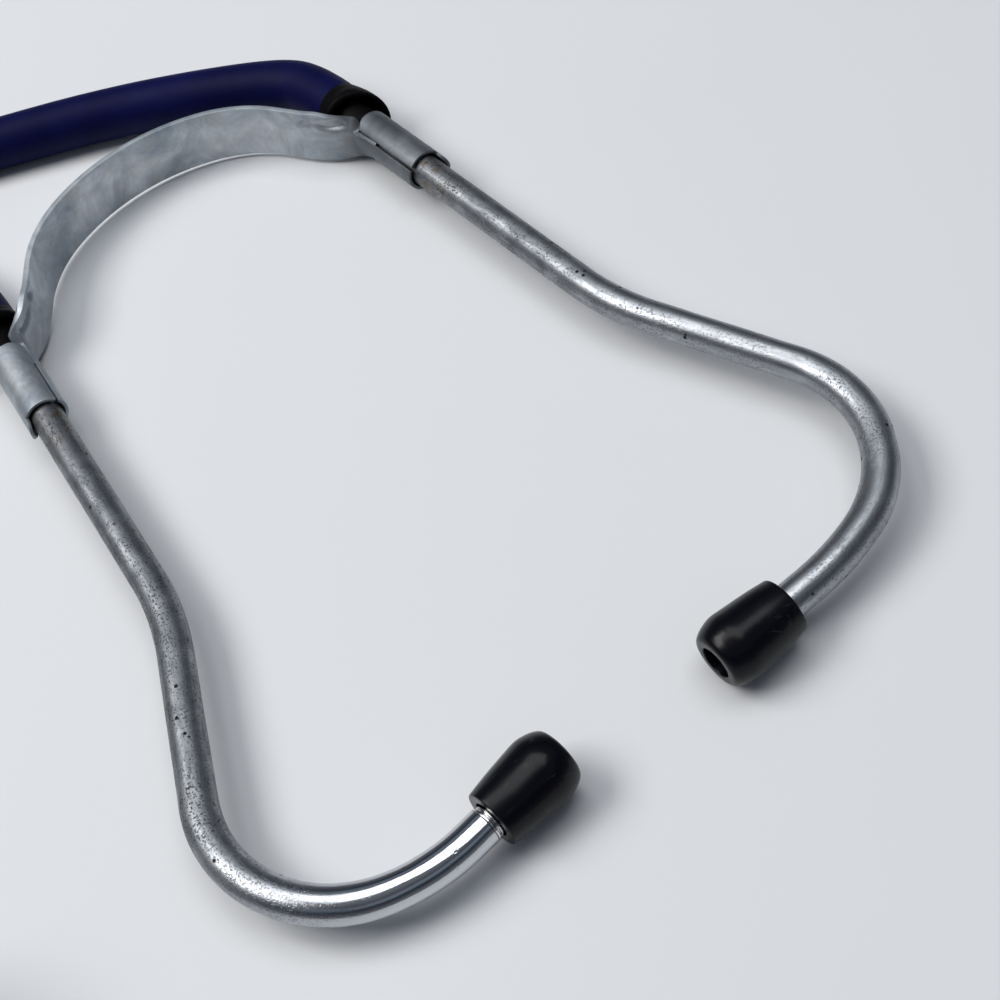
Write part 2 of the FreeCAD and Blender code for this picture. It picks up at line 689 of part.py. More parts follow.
def chest_head():
    """The turned head: diaphragm cup below, waist with the stem's boss, and the bell above."""
    seat = "diaphragm_step + diaphragm_sheet + running_gap"
    corners = [("sound_bore / 2 + 0.6", "4.4"), ("head_dia / 2 - 3.6", "2.8"), ("head_dia / 2 - 3.4", seat),
               ("head_dia / 2", seat), ("head_dia / 2", "ring_height + 0.4"),
               ("head_dia / 2 - 1.2", "ring_height + 1.2"), ("waist_dia / 2 + 2.5", "ring_height + 2.4"),
               ("waist_dia / 2", "ring_height + 3.6"), ("waist_dia / 2", "stem_height + 4.2"),
               ("waist_dia / 2 + 0.8", "stem_height + 5.6"), ("bell_dia / 2 - 2.4", "stem_height + 8"),
               ("bell_dia / 2 - 0.8", "bell_height - 5"), ("bell_dia / 2", "bell_height - 1.5"),
               ("bell_dia / 2", "bell_height"), ("bell_mouth / 2", "bell_height"),
               ("bell_mouth / 2 - 1.4", "bell_height - 4.2"), ("bell_mouth / 2 - 4.6", "bell_height - 8"),
               ("bell_mouth / 2 - 9.6", "bell_height - 10.2"), ("sound_bore / 2 + 0.6", "bell_height - 11")]
    body = turned("chest_head_turned", corners)
    boss = cylinder("chest_head_boss", "boss_dia / 2", "boss_front + boss_back",
                    facing(STEM_AXIS - Y * cell("boss_back"), Y))
    solid = fused("chest_head_solid", [body, boss])
    bore = cylinder("chest_head_bore", "stem_dia / 2 + running_gap", "boss_front + boss_back + 2",
                    facing(STEM_AXIS - Y * (cell("boss_back") + 1), Y))
    index = cylinder("chest_head_index_hole", "ball_dia / 2 + 0.1", "waist_dia / 2",
                     facing(STEM_AXIS - Y * cell("ball_back") + X * 2.0, X))
    tools = fused("chest_head_tools", [bore, index])
    return keep(cut("chest_head_cut", solid, tools), "chestpiece_head")


def bell_rim():
    """The soft ring over the bell's rim."""
    outside = "bell_dia / 2 + 1.1"
    corners = [("bell_dia / 2", "bell_height - 1.4"), ("bell_dia / 2 + 0.8", "bell_height - 2.4"),
               (outside, "bell_height - 2.2"), (outside, "bell_height + 0.7"),
               ("bell_dia / 2 + 0.3", "bell_height + 1.4"), ("bell_mouth / 2", "bell_height + 1.4"),
               ("bell_mouth / 2 - 0.6", "bell_height + 0.8"), ("bell_mouth / 2 - 0.6", "bell_height"),
               ("bell_dia / 2", "bell_height")]
    return keep(turned("bell_rim_ring", corners), "bell_rim")


def stem():
    """The stem: closed back end with a clip groove, ball track, seal groove, flange and a hose barb."""
    full, waist = "stem_dia / 2", "stem_dia / 2 - 0.3"
    clip, track, seal = "clip_groove_dia / 2", "track_dia / 2", "seal_groove_dia / 2"
    front, end = "stem_back + boss_front", "stem_back + stem_reach"
    ball = "stem_back - ball_back"
    rings, tip = barbs(end, int(cell("barb_count")))
    corners = [("0", "0"), (full + " - 0.4", "0"), (full, "0.4"), (full, "0.5"), (clip, "0.5"),
               (clip, "1.35"), (full, "1.35"), (full, ball + " - 1.3"), (track, ball + " - 1.1"),
               (track, ball + " + 1.1"), (full, ball + " + 1.3"), (full, "stem_back + 6"),
               (seal, "stem_back + 6"), (seal, "stem_back + 7.3"), (full, "stem_back + 7.3"),
               (full, front + " + 0.2"), ("stem_flange_dia / 2", front + " + 0.2"),
               ("stem_flange_dia / 2", front + " + 1.6"), (waist, front + " + 2.2"), (waist, end + " - 2"),
               ("hose_dia / 2 - 0.2", end + " - 1.4"), ("hose_dia / 2 - 0.2", end)]
    corners += rings + [("barb_root / 2", tip), ("sound_bore / 2 + 0.4", tip),
                        ("sound_bore / 2 + 0.4", "stem_back - 2.5"), ("0", "stem_back - 2.5")]
    body = turned("stem_turned", corners)
    body.Placement = facing(STEM_AXIS - Y * cell("stem_back"), Y)
    port = cylinder("stem_port", "sound_bore / 2 + 0.4", "stem_dia / 2 + 1", facing(STEM_AXIS, Z * -1))
    return keep(cut("stem_ported", body, port), "chestpiece_stem")


def stem_clip():
    """A flat clip, slotted from one side, in the stem's back groove."""
    start = STEM_AXIS - Y * (cell("stem_back") - 0.55)
    plate = cylinder("stem_clip_plate", "clip_dia / 2", "clip_thickness", facing(start, Y))
    hole = cylinder("stem_clip_hole", "clip_groove_dia / 2", "clip_thickness + 2", facing(start - Y, Y))
    slot = box("stem_clip_slot", "clip_groove_dia - 0.8", "clip_thickness + 2", "clip_dia",
               Placement(start - Y - X * (cell("clip_groove_dia") - 0.8) / 2, Rotation()))
    return keep(cut("stem_clip_cut", plate, fused("stem_clip_tools", [hole, slot])), "stem_clip")


def stem_seal():
    """The rubber ring in the stem's seal groove."""
    ring = doc.addObject("Part::Torus", "stem_seal_ring")
    ring.setExpression("Radius1", bound("seal_groove_dia / 2 + seal_section / 2"))
    ring.setExpression("Radius2", bound("seal_section / 2"))
    ring.Placement = facing(STEM_AXIS + Y * 6.65, Y)
    return keep(ring, "stem_seal")


INDEX_START = STEM_AXIS - Y * cell("ball_back")
BALL_CENTRE = INDEX_START + X * ((cell("track_dia") + cell("ball_dia")) / 2 + cell("running_gap"))
SCREW_REACH = 8.2


def index_ball():
    ball = doc.addObject("Part::Sphere", "index_ball_sphere")
    ball.setExpression("Radius", "sheet.ball_dia / 2")
    ball.Placement = Placement(BALL_CENTRE, Rotation())
    return keep(ball, "index_ball")


def index_spring():
    """The coil spring between the ball and the screw."""
    wire = cell("index_wire")
    start = BALL_CENTRE + X * (cell("ball_dia") / 2 - 0.1)
    room = INDEX_START.x + SCREW_REACH - start.x - 2 * wire
    coil = Part.makeHelix(room / 3, room, cell("ball_dia") / 2 - wire / 2 - 0.1)
    begin = coil.Vertexes[0].Point
    section = Part.Wire(Part.Circle(begin, Y, wire / 2).toShape())
    solid = coil.makePipeShell([section], True, True)
    spring = plain("index_spring_coil", solid)
    spring.Placement = facing(start + X * wire, X)
    return keep(spring, "index_spring")


def index_screw():
    """The slotted grub screw that backs the index spring."""
    start = INDEX_START + X * SCREW_REACH
    plug = cylinder("index_screw_plug", "ball_dia / 2", "1.7", facing(start, X))
    slot = box("index_screw_slot", "1", "0.4", "ball_dia + 1",
               Placement(start + X * 1.2 - Y * 0.2 - Z * (cell("ball_dia") + 1) / 2, Rotation()))
    return keep(cut("index_screw_cut", plug, slot), "index_screw")


# ---------------------------------------------------------------- assembly and export

leaf_spring()
for side in SIDES:
    for make in (spring_sleeve, ear_tube, threaded_insert, ear_tip, tube_collar):
        make(side)
hose("right_arm_tube", right_arm_route())
hose("left_arm_tube", left_arm_route())
hose("main_tube", main_route())
y_piece()
for make in (diaphragm, diaphragm_ring, chest_head, bell_rim, stem, stem_clip, stem_seal, index_ball,
             index_spring, index_screw):
    make()

doc.recompute()
for obj in doc.Objects:
    if "Invalid" in obj.State or "Error" in obj.State:
        raise RuntimeError(f"{obj.Label} did not compute: {obj.State}")
for node in nodes:
    shape = node.Shape
    if shape.isNull() or not shape.isValid() or not shape.Solids:
        raise RuntimeError(f"{node.Label} has no valid solid")

os.makedirs("parts", exist_ok=True)
for node in nodes:
    node.Shape.exportStep(f"parts/{node.Label}.step")
    bounds = node.Shape.BoundBox
    print(f"{node.Label}: {len(node.Shape.Solids)} solid, volume {node.Shape.Volume:.1f}, "
          f"z {bounds.ZMin:.2f} to {bounds.ZMax:.2f}")
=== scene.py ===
"""Looks for a stethoscope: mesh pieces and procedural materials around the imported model, in metres.

The headset lies flat, its ear tips towards -Y; the chestpiece stands at the origin with its stem along +Y.
"""

import json
import math

import bpy
from mathutils import Matrix, Quaternion, Vector, noise


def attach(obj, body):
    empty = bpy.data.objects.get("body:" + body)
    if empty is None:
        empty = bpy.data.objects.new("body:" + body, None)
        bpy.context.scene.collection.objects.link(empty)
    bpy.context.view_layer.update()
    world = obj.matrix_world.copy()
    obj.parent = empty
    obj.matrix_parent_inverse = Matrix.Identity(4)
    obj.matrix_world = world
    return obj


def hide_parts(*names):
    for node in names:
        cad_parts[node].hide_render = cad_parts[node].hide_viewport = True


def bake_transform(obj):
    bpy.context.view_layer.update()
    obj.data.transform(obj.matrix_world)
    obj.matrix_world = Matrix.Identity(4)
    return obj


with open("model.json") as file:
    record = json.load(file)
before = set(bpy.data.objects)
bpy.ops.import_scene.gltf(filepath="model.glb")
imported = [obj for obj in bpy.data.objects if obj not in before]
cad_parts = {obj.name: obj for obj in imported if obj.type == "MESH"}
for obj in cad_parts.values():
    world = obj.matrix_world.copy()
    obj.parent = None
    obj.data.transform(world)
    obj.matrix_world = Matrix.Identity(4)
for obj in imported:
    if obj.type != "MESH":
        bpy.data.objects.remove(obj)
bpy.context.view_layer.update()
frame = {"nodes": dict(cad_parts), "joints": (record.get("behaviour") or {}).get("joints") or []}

MM = 0.001
JOINTS = {joint["name"]: joint for joint in frame["joints"]}
SIDES = {"right": 1, "left": -1}
Z = Vector((0, 0, 1))

# Sizes of the model, in millimetres.
REST = 6.9                       # height of the headset's axes
HEADSET = (128.0, -30.0)         # its mid line and its lowest bend
TUBE_RADIUS = 3.0
SLEEVE = dict(length=17.4, outside=4.1, inside=3.1, mouth=3.45, mouth_depth=5.0, flare_ends=0.5, tongue=2.6,
              tongue_half_angle=34.0, corner=0.9)
STRIP = dict(width=11.8, thickness=1.0, top=159.9, crown=(39.5, 25.0), shoulder=(27.5, 33.0), flat=5.0)
COLLAR = dict(gap=0.6, length=9.6, radius=6.1, slant=25.0, open_side=40.0)
HOSE_RADIUS = 5.2
LYING = HOSE_RADIUS + 0.03       # height of a hose's line where it lies on the table
COLLAR_END = SLEEVE["length"] + COLLAR["gap"] + COLLAR["length"]    # above the sleeve's rim
STEM_HEIGHT = 13.5
STEM_REACH = 30.0


def mm(x, y, z=0.0):
    """A point given in millimetres."""
    return Vector((x, y, z)) * MM


def headset(across, along, height=REST):
    """A point given from the headset's mid line and lowest bend."""
    return mm(HEADSET[0] + across, HEADSET[1] + along, height)


def joint_at(name):
    """A joint's place and its unit axis."""
    return Vector(JOINTS[name]["pos_m"]), Vector(JOINTS[name]["axis"]).normalized()


def on_sleeve(side, distance):
    """A point of a sleeve's axis, that many millimetres above its rim."""
    rim, down = joint_at(f"{side}_tube_turn")
    return rim - down * distance * MM


# ---------------------------------------------------------------- camera

CAMERA_PLACE = mm(72.32, -128.03, 221.8)
CAMERA_AHEAD = Vector((0.2356, 0.5361, -0.8106)).normalized()
CAMERA_LEVEL = Vector((0.9157, -0.4019, 0.0)).normalized()
CAMERA_LEAN = math.radians(16.2)
CAMERA_LENS, CAMERA_SENSOR = 58.7, 36.0


def camera():
    """The camera: it looks down over the ear tips towards the spring, leaning to one side."""
    ahead = CAMERA_AHEAD
    across = Quaternion(ahead, CAMERA_LEAN) @ CAMERA_LEVEL
    up = across.cross(ahead)
    data = bpy.data.cameras.new("camera")
    data.lens, data.sensor_width = CAMERA_LENS, CAMERA_SENSOR
    data.clip_start = 0.01
    obj = bpy.data.objects.new("camera", data)
    bpy.context.collection.objects.link(obj)
    turn = Matrix((across, up, -ahead)).transposed().to_4x4()
    obj.matrix_world = Matrix.Translation(CAMERA_PLACE) @ turn
    bpy.context.scene.camera = obj


camera()


# ---------------------------------------------------------------- mesh helpers

def piece(name, vertices, faces, uvs=None, angle=40.0):
    """A smooth-shaded mesh object; uvs is one (u, v) in centimetres per vertex of each face's corners."""
    mesh = bpy.data.meshes.new(name)
    mesh.from_pydata([tuple(v) for v in vertices], [], faces)
    if uvs is not None:
        layer = mesh.uv_layers.new(name="UVMap")
        for polygon, corners in zip(mesh.polygons, uvs):
            for loop, uv in zip(polygon.loop_indices, corners):
                layer.data[loop].uv = uv
    mesh.validate()
    smooth_shaded(mesh, angle)
    obj = bpy.data.objects.new(name, mesh)
    bpy.context.collection.objects.link(obj)
    return obj


def grid_faces(rows, columns, closed, flip=False):
    """Quads of a grid of rows by columns, its columns joined round if closed, with (row, column) corners."""
    faces, spots = [], []
    for row in range(rows - 1):
        for column in range(columns if closed else columns - 1):
            corners = [(row, column), (row, column + 1), (row + 1, column + 1), (row + 1, column)]
            if flip:
                corners.reverse()
            faces.append([r * columns + c % columns for r, c in corners])
            spots.append(corners)
    return faces, spots


def swept(name, points, radius, sides=48, seam=-Z):
    """A closed round skin along points; radius(distance, angle) is in metres, and the seam faces one way."""
    ahead = [(b - a).normalized() for a, b in zip(points, points[1:])]
    ahead = [ahead[0]] + [(a + b).normalized() for a, b in zip(ahead, ahead[1:])] + [ahead[-1]]
    across = (seam - ahead[0] * seam.dot(ahead[0])).normalized()
    vertices, distances, distance = [], [], 0.0
    for count, point in enumerate(points):
        if count:
            distance += (point - points[count - 1]).length
            across = (across - ahead[count] * across.dot(ahead[count])).normalized()
        side = ahead[count].cross(across)
        for step in range(sides):
            angle = 2 * math.pi * step / sides
            out = across * math.cos(angle) + side * math.sin(angle)
            vertices.append(point + out * radius(distance, angle))
        distances.append(distance)
    faces, spots = grid_faces(len(points), sides, True, flip=True)
    girth = 2 * math.pi * radius(0.0, 0.0)
    uvs = [[(distances[r] * 100, girth * c / sides * 100) for r, c in corners] for corners in spots]
    for row, order in ((0, 1), (len(points) - 1, -1)):
        faces.append([row * sides + step for step in range(sides)][::order])
        uvs.append([(distances[row] * 100, 0.0)] * sides)
    return piece(name, vertices, faces, uvs)


ON_AXIS = 1e-6                   # a profile's radius below this, in millimetres, is on its axis
SHARP = 1e-3                     # a rounding below this, in millimetres, leaves a corner sharp


def rounded(corners, steps=5):
    """A profile with its corners rounded: each corner is (radius, height, rounding) in millimetres."""
    points = []
    for count, (r, z, size) in enumerate(corners):
        here = Vector((r, z))
        before = Vector(corners[count - 1][:2]) - here
        after = Vector(corners[(count + 1) % len(corners)][:2]) - here
        size = min(size, 0.45 * before.length, 0.45 * after.length)
        if r < ON_AXIS or size < SHARP:
            points.append(here)
            continue
        start, end = here + before.normalized() * size, here + after.normalized() * size
        for step in range(steps + 1):
            t = step / steps
            points.append(start * (1 - t) ** 2 + here * 2 * t * (1 - t) + end * t * t)
    return points


def turned(name, corners, place, sides=128, shape=None, angle=30.0):
    """A turned skin about its own Z. shape(radius, height, angle) may change a radius, all in millimetres."""
    profile = rounded(corners)
    vertices = []
    for point in profile:
        for step in range(sides):
            turn = 2 * math.pi * step / sides
            radius = shape(point.x, point.y, turn) if shape else point.x
            vertices.append(place @ mm(radius * math.cos(turn), radius * math.sin(turn), point.y))
    rows = len(profile)
    along = [0.0]
    for a, b in zip(profile, profile[1:] + profile[:1]):
        along.append(along[-1] + (b - a).length / 10)
    girth = 2 * math.pi * max(point.x for point in profile) / 10
    faces, uvs = [], []
    for row in range(rows):
        below = (row + 1) % rows
        if profile[row].x < ON_AXIS and profile[below].x < ON_AXIS:
            continue
        for step in range(sides):
            after = (step + 1) % sides
            faces.append([row * sides + step, row * sides + after, below * sides + after, below * sides + step])
            spots = [(along[row], step), (along[row], step + 1), (along[row + 1], step + 1), (along[row + 1], step)]
            uvs.append([(a, girth * s / sides) for a, s in spots])
    return piece(name, vertices, faces, uvs, angle)


def slab(name, front, back):
    """A solid between two grids of the same size: its two faces and its four edges."""
    rows, columns = len(front), len(front[0])
    vertices = [v for row in front for v in row] + [v for row in back for v in row]
    offset = rows * columns
    faces, spots = grid_faces(rows, columns, False)
    behind = [[offset + v for v in reversed(face)] for face in faces]
    spots = spots + [list(reversed(corners)) for corners in spots]
    faces = faces + behind
    rim = ([(0, c) for c in range(columns)] + [(r, columns - 1) for r in range(1, rows)]
           + [(rows - 1, c) for c in range(columns - 2, -1, -1)] + [(r, 0) for r in range(rows - 2, 0, -1)])
    for a, b in zip(rim, rim[1:] + rim[:1]):
        first, second = a[0] * columns + a[1], b[0] * columns + b[1]
        faces.append([second, first, offset + first, offset + second])
        spots.append([b, a, a, b])
    along = [0.0]
    for r in range(1, rows):
        along.append(along[-1] + (front[r][0] - front[r - 1][0]).length * 100)
    wide = (front[0][-1] - front[0][0]).length * 100 / (columns - 1)
    uvs = [[(along[r], wide * c) for r, c in corners] for corners in spots]
    return piece(name, vertices, faces, uvs)


def smooth_shaded(mesh, angle):
    """Shades a mesh smooth, but for edges sharper than an angle in degrees."""
    mesh.polygons.foreach_set("use_smooth", [True] * len(mesh.polygons))
    mesh.set_sharp_from_angle(angle=math.radians(angle))


def soften(obj, width):
    """Rounds a piece's sharp edges, to a width in millimetres."""
    bevel = obj.modifiers.new("soft_edges", "BEVEL")
    bevel.width, bevel.segments = width * MM, 3
    bevel.limit_method, bevel.angle_limit = "ANGLE", math.radians(35)
    bevel.harden_normals = False
    apply_modifiers(obj)
    smooth_shaded(obj.data, 60)


def apply_modifiers(obj):
    """Puts the result of a piece's modifiers in its mesh."""
    depsgraph = bpy.context.evaluated_depsgraph_get()
    mesh = bpy.data.meshes.new_from_object(obj.evaluated_get(depsgraph))
    obj.modifiers.clear()
    obj.data = mesh


def combined(obj, other, how):
    """Joins another closed piece to obj, or cuts it away, and removes the other."""
    boolean = obj.modifiers.new("combine", "BOOLEAN")
    boolean.operation, boolean.object, boolean.solver = how, other, "EXACT"
    apply_modifiers(obj)
    bpy.data.objects.remove(other)


def paint(obj, material):
    """Gives a piece its material."""
    obj.data.materials.clear()
    obj.data.materials.append(material)


def facing(point, direction):
    """A place whose Z runs along direction from point."""
    return Matrix.Translation(point) @ direction.to_track_quat("Z", "Y").to_matrix().to_4x4()


def smooth_step(low, high, value):
    """Nought below low, one above high, and a smooth ramp between; low may be the larger."""
    t = min(max((value - low) / (high - low), 0.0), 1.0)
    return t * t * (3 - 2 * t)


# ---------------------------------------------------------------- materials

SOCKETS = {"metallic": "Metallic", "roughness": "Roughness", "specular": "Specular IOR Level", "coat": "Coat Weight",
           "coat_roughness": "Coat Roughness"}


class Paint:
    """A material being built: small helpers around its node tree. Scales are per metre, or per centimetre on uv."""

    def __init__(self, name):
        self.material = bpy.data.materials.new(name)
        self.material.use_nodes = True
        self.tree = self.material.node_tree
        self.shader = self.tree.nodes["Principled BSDF"]
        self.place = self.tree.nodes.new("ShaderNodeTexCoord").outputs["Object"]
        self.uv = self.tree.nodes["Texture Coordinate"].outputs["UV"]

    def set(self, **values):
        """Sets constants on the shader's own sockets."""
        for name, value in values.items():
            self.shader.inputs[SOCKETS[name]].default_value = value
        return self

    def link(self, output, name):
        """Links an output to one of the shader's sockets."""
        self.tree.links.new(output, self.shader.inputs[name])

    def along(self, reach):
        """Distance along a piece's uv, as a share of a reach in centimetres."""
        node = self.tree.nodes.new("ShaderNodeSeparateXYZ")
        self.tree.links.new(self.uv, node.inputs["Vector"])
        return self.math("DIVIDE", node.outputs["X"], reach)

    def scaled(self, source, scale):
        """Coordinates scaled by axis."""
        node = self.tree.nodes.new("ShaderNodeMapping")
        node.inputs["Scale"].default_value = scale
        self.tree.links.new(source, node.inputs["Vector"])
        return node.outputs["Vector"]

    def noise(self, scale, detail=4.0, source=None, rough=0.55, twist=0.0):
        """Cloudy noise."""
        node = self.tree.nodes.new("ShaderNodeTexNoise")
        node.inputs["Scale"].default_value = scale
        node.inputs["Detail"].default_value = detail
        node.inputs["Roughness"].default_value = rough
        node.inputs["Distortion"].default_value = twist
        self.tree.links.new(source or self.place, node.inputs["Vector"])
        return node.outputs["Fac"]

    def cells(self, scale):
        """Distance to the nearest of scattered points."""
        node = self.tree.nodes.new("ShaderNodeTexVoronoi")
        node.inputs["Scale"].default_value = scale
        self.tree.links.new(self.place, node.inputs["Vector"])
        return node.outputs["Distance"]

    def ramp(self, source, stops):
        """A colour ramp; stops are (position, grey or colour)."""
        node = self.tree.nodes.new("ShaderNodeValToRGB")
        elements = node.color_ramp.elements
        while len(elements) < len(stops):
            elements.new(0.5)
        for element, (position, tone) in zip(elements, stops):
            element.position = position
            element.color = (tone, tone, tone, 1) if isinstance(tone, (int, float)) else (*tone, 1)
        self.tree.links.new(source, node.inputs["Fac"])
        return node.outputs["Color"]

    def math(self, how, first, second):
        """A sum, product and so on of two outputs or numbers."""
        node = self.tree.nodes.new("ShaderNodeMath")
        node.operation = how
        for value, socket in zip((first, second), node.inputs):
            if isinstance(value, (int, float)):
                socket.default_value = value
            else:
                self.tree.links.new(value, socket)
        return node.outputs["Value"]

    def mix(self, factor, first, second, how="MIX"):
        """Two colours mixed, or blended another way."""
        node = self.tree.nodes.new("ShaderNodeMix")
        node.data_type, node.blend_type = "RGBA", how
        if isinstance(factor, float):
            node.inputs["Factor"].default_value = factor
        else:
            self.tree.links.new(factor, node.inputs["Factor"])
        for value, socket in ((first, node.inputs["A"]), (second, node.inputs["B"])):
            if isinstance(value, tuple):
                socket.default_value = (*value, 1)
            else:
                self.tree.links.new(value, socket)
        return node.outputs["Result"]

    def bump(self, height, strength, distance, under=None):
        """A bumped normal, over another one if given."""
        node = self.tree.nodes.new("ShaderNodeBump")
        node.inputs["Strength"].default_value = strength
        node.inputs["Distance"].default_value = distance
        self.tree.links.new(height, node.inputs["Height"])
        if under is not None:
            self.tree.links.new(under, node.inputs["Normal"])
        return node.outputs["Normal"]


HAZE_REACH = 20.0                # centimetres along an ear tube that its haze is given over


def pitted_chrome(name, dulling):
    """Old chrome on a tube: dull, blotched and pitted as much as dulling says along its length."""
    m = Paint(name).set(metallic=1.0)
    share = m.along(HAZE_REACH)
    haze = m.ramp(share, [(distance / HAZE_REACH, dull) for distance, dull in dulling])
    patches = m.ramp(m.noise(2.6, 6, m.scaled(m.uv, (0.8, 5.0, 1.0))), [(0.35, 0.0), (0.68, 1.0)])
    worn = m.math("MULTIPLY", haze, m.math("ADD", m.math("MULTIPLY", patches, 0.25), 0.75))
    blotch = m.ramp(m.noise(210, 7, rough=0.68), [(0.36, 0.0), (0.52, 0.4), (0.68, 1.0)])
    dull = m.mix(blotch, (0.105, 0.115, 0.130), (0.27, 0.285, 0.300))
    by_rim = m.ramp(share, [(0.1275, 0.0), (0.135, 1.0), (0.165, 0.7), (0.21, 0.0)])
    rust = m.math("MULTIPLY", by_rim, m.ramp(m.noise(520, 6, rough=0.7), [(0.50, 0.0), (0.62, 1.0)]))
    tone = m.mix(rust, m.mix(worn, (0.60, 0.62, 0.65), dull), (0.15, 0.11, 0.06))
    where = m.ramp(m.noise(95, 5), [(0.36, 0.2), (0.56, 1.0)])
    fine = m.ramp(m.noise(2700, 2), [(0.54, 0.0), (0.62, 0.75)])
    pits = m.ramp(m.cells(460), [(0.0, 1.0), (0.12, 1.0), (0.18, 0.0)])
    few = m.ramp(m.noise(170, 5), [(0.54, 0.0), (0.60, 1.0)])
    specks = m.math("MULTIPLY", m.math("MULTIPLY", fine, where), worn)
    spots = m.math("MAXIMUM", specks, m.math("MULTIPLY", pits, few))
    m.link(m.mix(spots, tone, (0.035, 0.032, 0.03)), "Base Color")
    rough = m.math("ADD", m.math("MULTIPLY", worn, 0.45), m.math("MULTIPLY", m.noise(900, 3), 0.06))
    m.link(m.math("ADD", m.math("ADD", rough, 0.03), m.math("MULTIPLY", spots, 0.35)), "Roughness")
    dents = m.bump(m.noise(140, 3), 0.10, 0.0006)
    m.link(m.bump(spots, 0.35, -0.00012, dents), "Normal")
    return m.material


def zinc_steel(name, shade, start_shade=None):
    """Worn grey plating. shade scales its grey, and on the strips and sleeves it is painted shade; the strip goes
    from start_shade to shade along its neck, a painted shade on the neck.
    """
    m = Paint(name).set(metallic=0.80)
    smudge = m.ramp(m.noise(85, 7, rough=0.66, twist=0.7), [(0.33, 0.0), (0.48, 0.35), (0.66, 1.0)])
    tone = m.mix(smudge, (0.25, 0.295, 0.345), (0.62, 0.655, 0.695))
    tone = m.mix(m.ramp(m.noise(300, 6, rough=0.65), [(0.45, 0.0), (0.72, 0.6)]), tone, (0.40, 0.405, 0.39))
    grey = (shade, shade, shade)
    # Painted shade: the grey falls from start_shade to shade along the neck, between 4 and 5 centimetres.
    if start_shade is not None:
        grey = m.ramp(m.along(10.0), [(0.40, start_shade), (0.50, shade)])
    tone = m.mix(1.0, tone, grey, "MULTIPLY")
    specks = m.math("MULTIPLY", m.ramp(m.cells(620), [(0.0, 1.0), (0.12, 0.0)]),
                    m.ramp(m.noise(150, 4), [(0.56, 0.0), (0.62, 1.0)]))
    m.link(m.mix(specks, tone, (0.08, 0.075, 0.07)), "Base Color")
    lines = m.noise(60, 5, m.scaled(m.uv, (0.35, 30.0, 1.0)))
    rough = m.math("ADD", m.math("MULTIPLY", m.noise(180, 5), 0.26), 0.36)
    m.link(m.math("ADD", rough, m.math("MULTIPLY", lines, 0.06)), "Roughness")
    grain = m.bump(m.noise(1700, 3), 0.12, 0.0001)
    m.link(m.bump(lines, 0.08, 0.00008, grain), "Normal")
    return m.material


def black_rubber(name, tone, dust, rough, gloss):
    """Black rubber: a soft sheen that varies, dust, light scuffs and a fine skin."""
    m = Paint(name).set(specular=gloss)
    rubbed = m.noise(130, 8, m.scaled(m.place, (1.0, 3.4, 1.6)), rough=0.7, twist=1.6)
    scuffs = m.ramp(rubbed, [(0.60, 0.0), (0.68, 0.30), (0.72, 0.0)])
    specks = m.math("MULTIPLY", m.ramp(m.cells(700), [(0.0, 1.0), (0.1, 0.0)]),
                    m.ramp(m.noise(240, 3), [(0.62, 0.0), (0.66, 0.8)]))
    marks = m.math("MAXIMUM", scuffs, specks)
    m.link(m.mix(marks, tone, dust), "Base Color")
    m.link(m.math("ADD", m.math("MULTIPLY", m.noise(160, 6), 0.26), rough - 0.13), "Roughness")
    skin = m.bump(m.noise(1300, 4), 0.10, 0.0001)
    m.link(m.bump(m.noise(240, 4), 0.10, 0.0003, skin), "Normal")
    return m.material


def navy_hose():
    """Extruded navy tubing: lengthwise lines, faint clouding, dust and a satin skin."""
    m = Paint("navy_tubing").set(specular=0.08)
    lines = m.noise(14, 5, m.scaled(m.uv, (0.12, 7.0, 1.0)))
    cloud = m.ramp(m.noise(95, 5), [(0.35, 0.0), (0.7, 1.0)])
    tone = m.mix(cloud, (0.0016, 0.0026, 0.036), (0.0034, 0.0050, 0.056))
    dust = m.math("MULTIPLY", m.ramp(m.cells(560), [(0.0, 1.0), (0.07, 0.0)]),
                  m.ramp(m.noise(110, 5), [(0.58, 0.0), (0.66, 0.5)]))
    m.link(m.mix(dust, tone, (0.13, 0.14, 0.19)), "Base Color")
    rough = m.math("ADD", m.math("MULTIPLY", lines, 0.10), 0.40)
    m.link(m.math("ADD", m.math("MULTIPLY", m.noise(120, 5), 0.16), rough), "Roughness")
    skin = m.bump(m.noise(1100, 3), 0.06, 0.0001)
    m.link(m.bump(lines, 0.12, 0.00015, skin), "Normal")
    return m.material


def turned_chrome(name, tone, rough):
    """Polished turned metal: fine scratches, fingerprints' haze and faint rings."""
    m = Paint(name).set(metallic=1.0)
    haze = m.ramp(m.noise(70, 6, rough=0.65), [(0.4, 0.0), (0.75, 1.0)])
    m.link(m.mix(haze, tone, tuple(channel * 0.82 for channel in tone)), "Base Color")
    hair = m.noise(40, 6, m.scaled(m.uv, (26.0, 0.5, 1.0)))
    scratch = m.ramp(m.noise(60, 8, m.scaled(m.place, (1.0, 9.0, 5.0)), twist=2.0),
                     [(0.49, 0.0), (0.5, 1.0), (0.51, 0.0)])
    amount = m.math("ADD", m.math("MULTIPLY", haze, 0.10), m.math("MULTIPLY", scratch, 0.12))
    m.link(m.math("ADD", m.math("ADD", amount, m.math("MULTIPLY", hair, 0.10)), rough), "Roughness")
    m.link(m.bump(hair, 0.05, 0.00006, m.bump(scratch, 0.05, -0.00005)), "Normal")
    return m.material


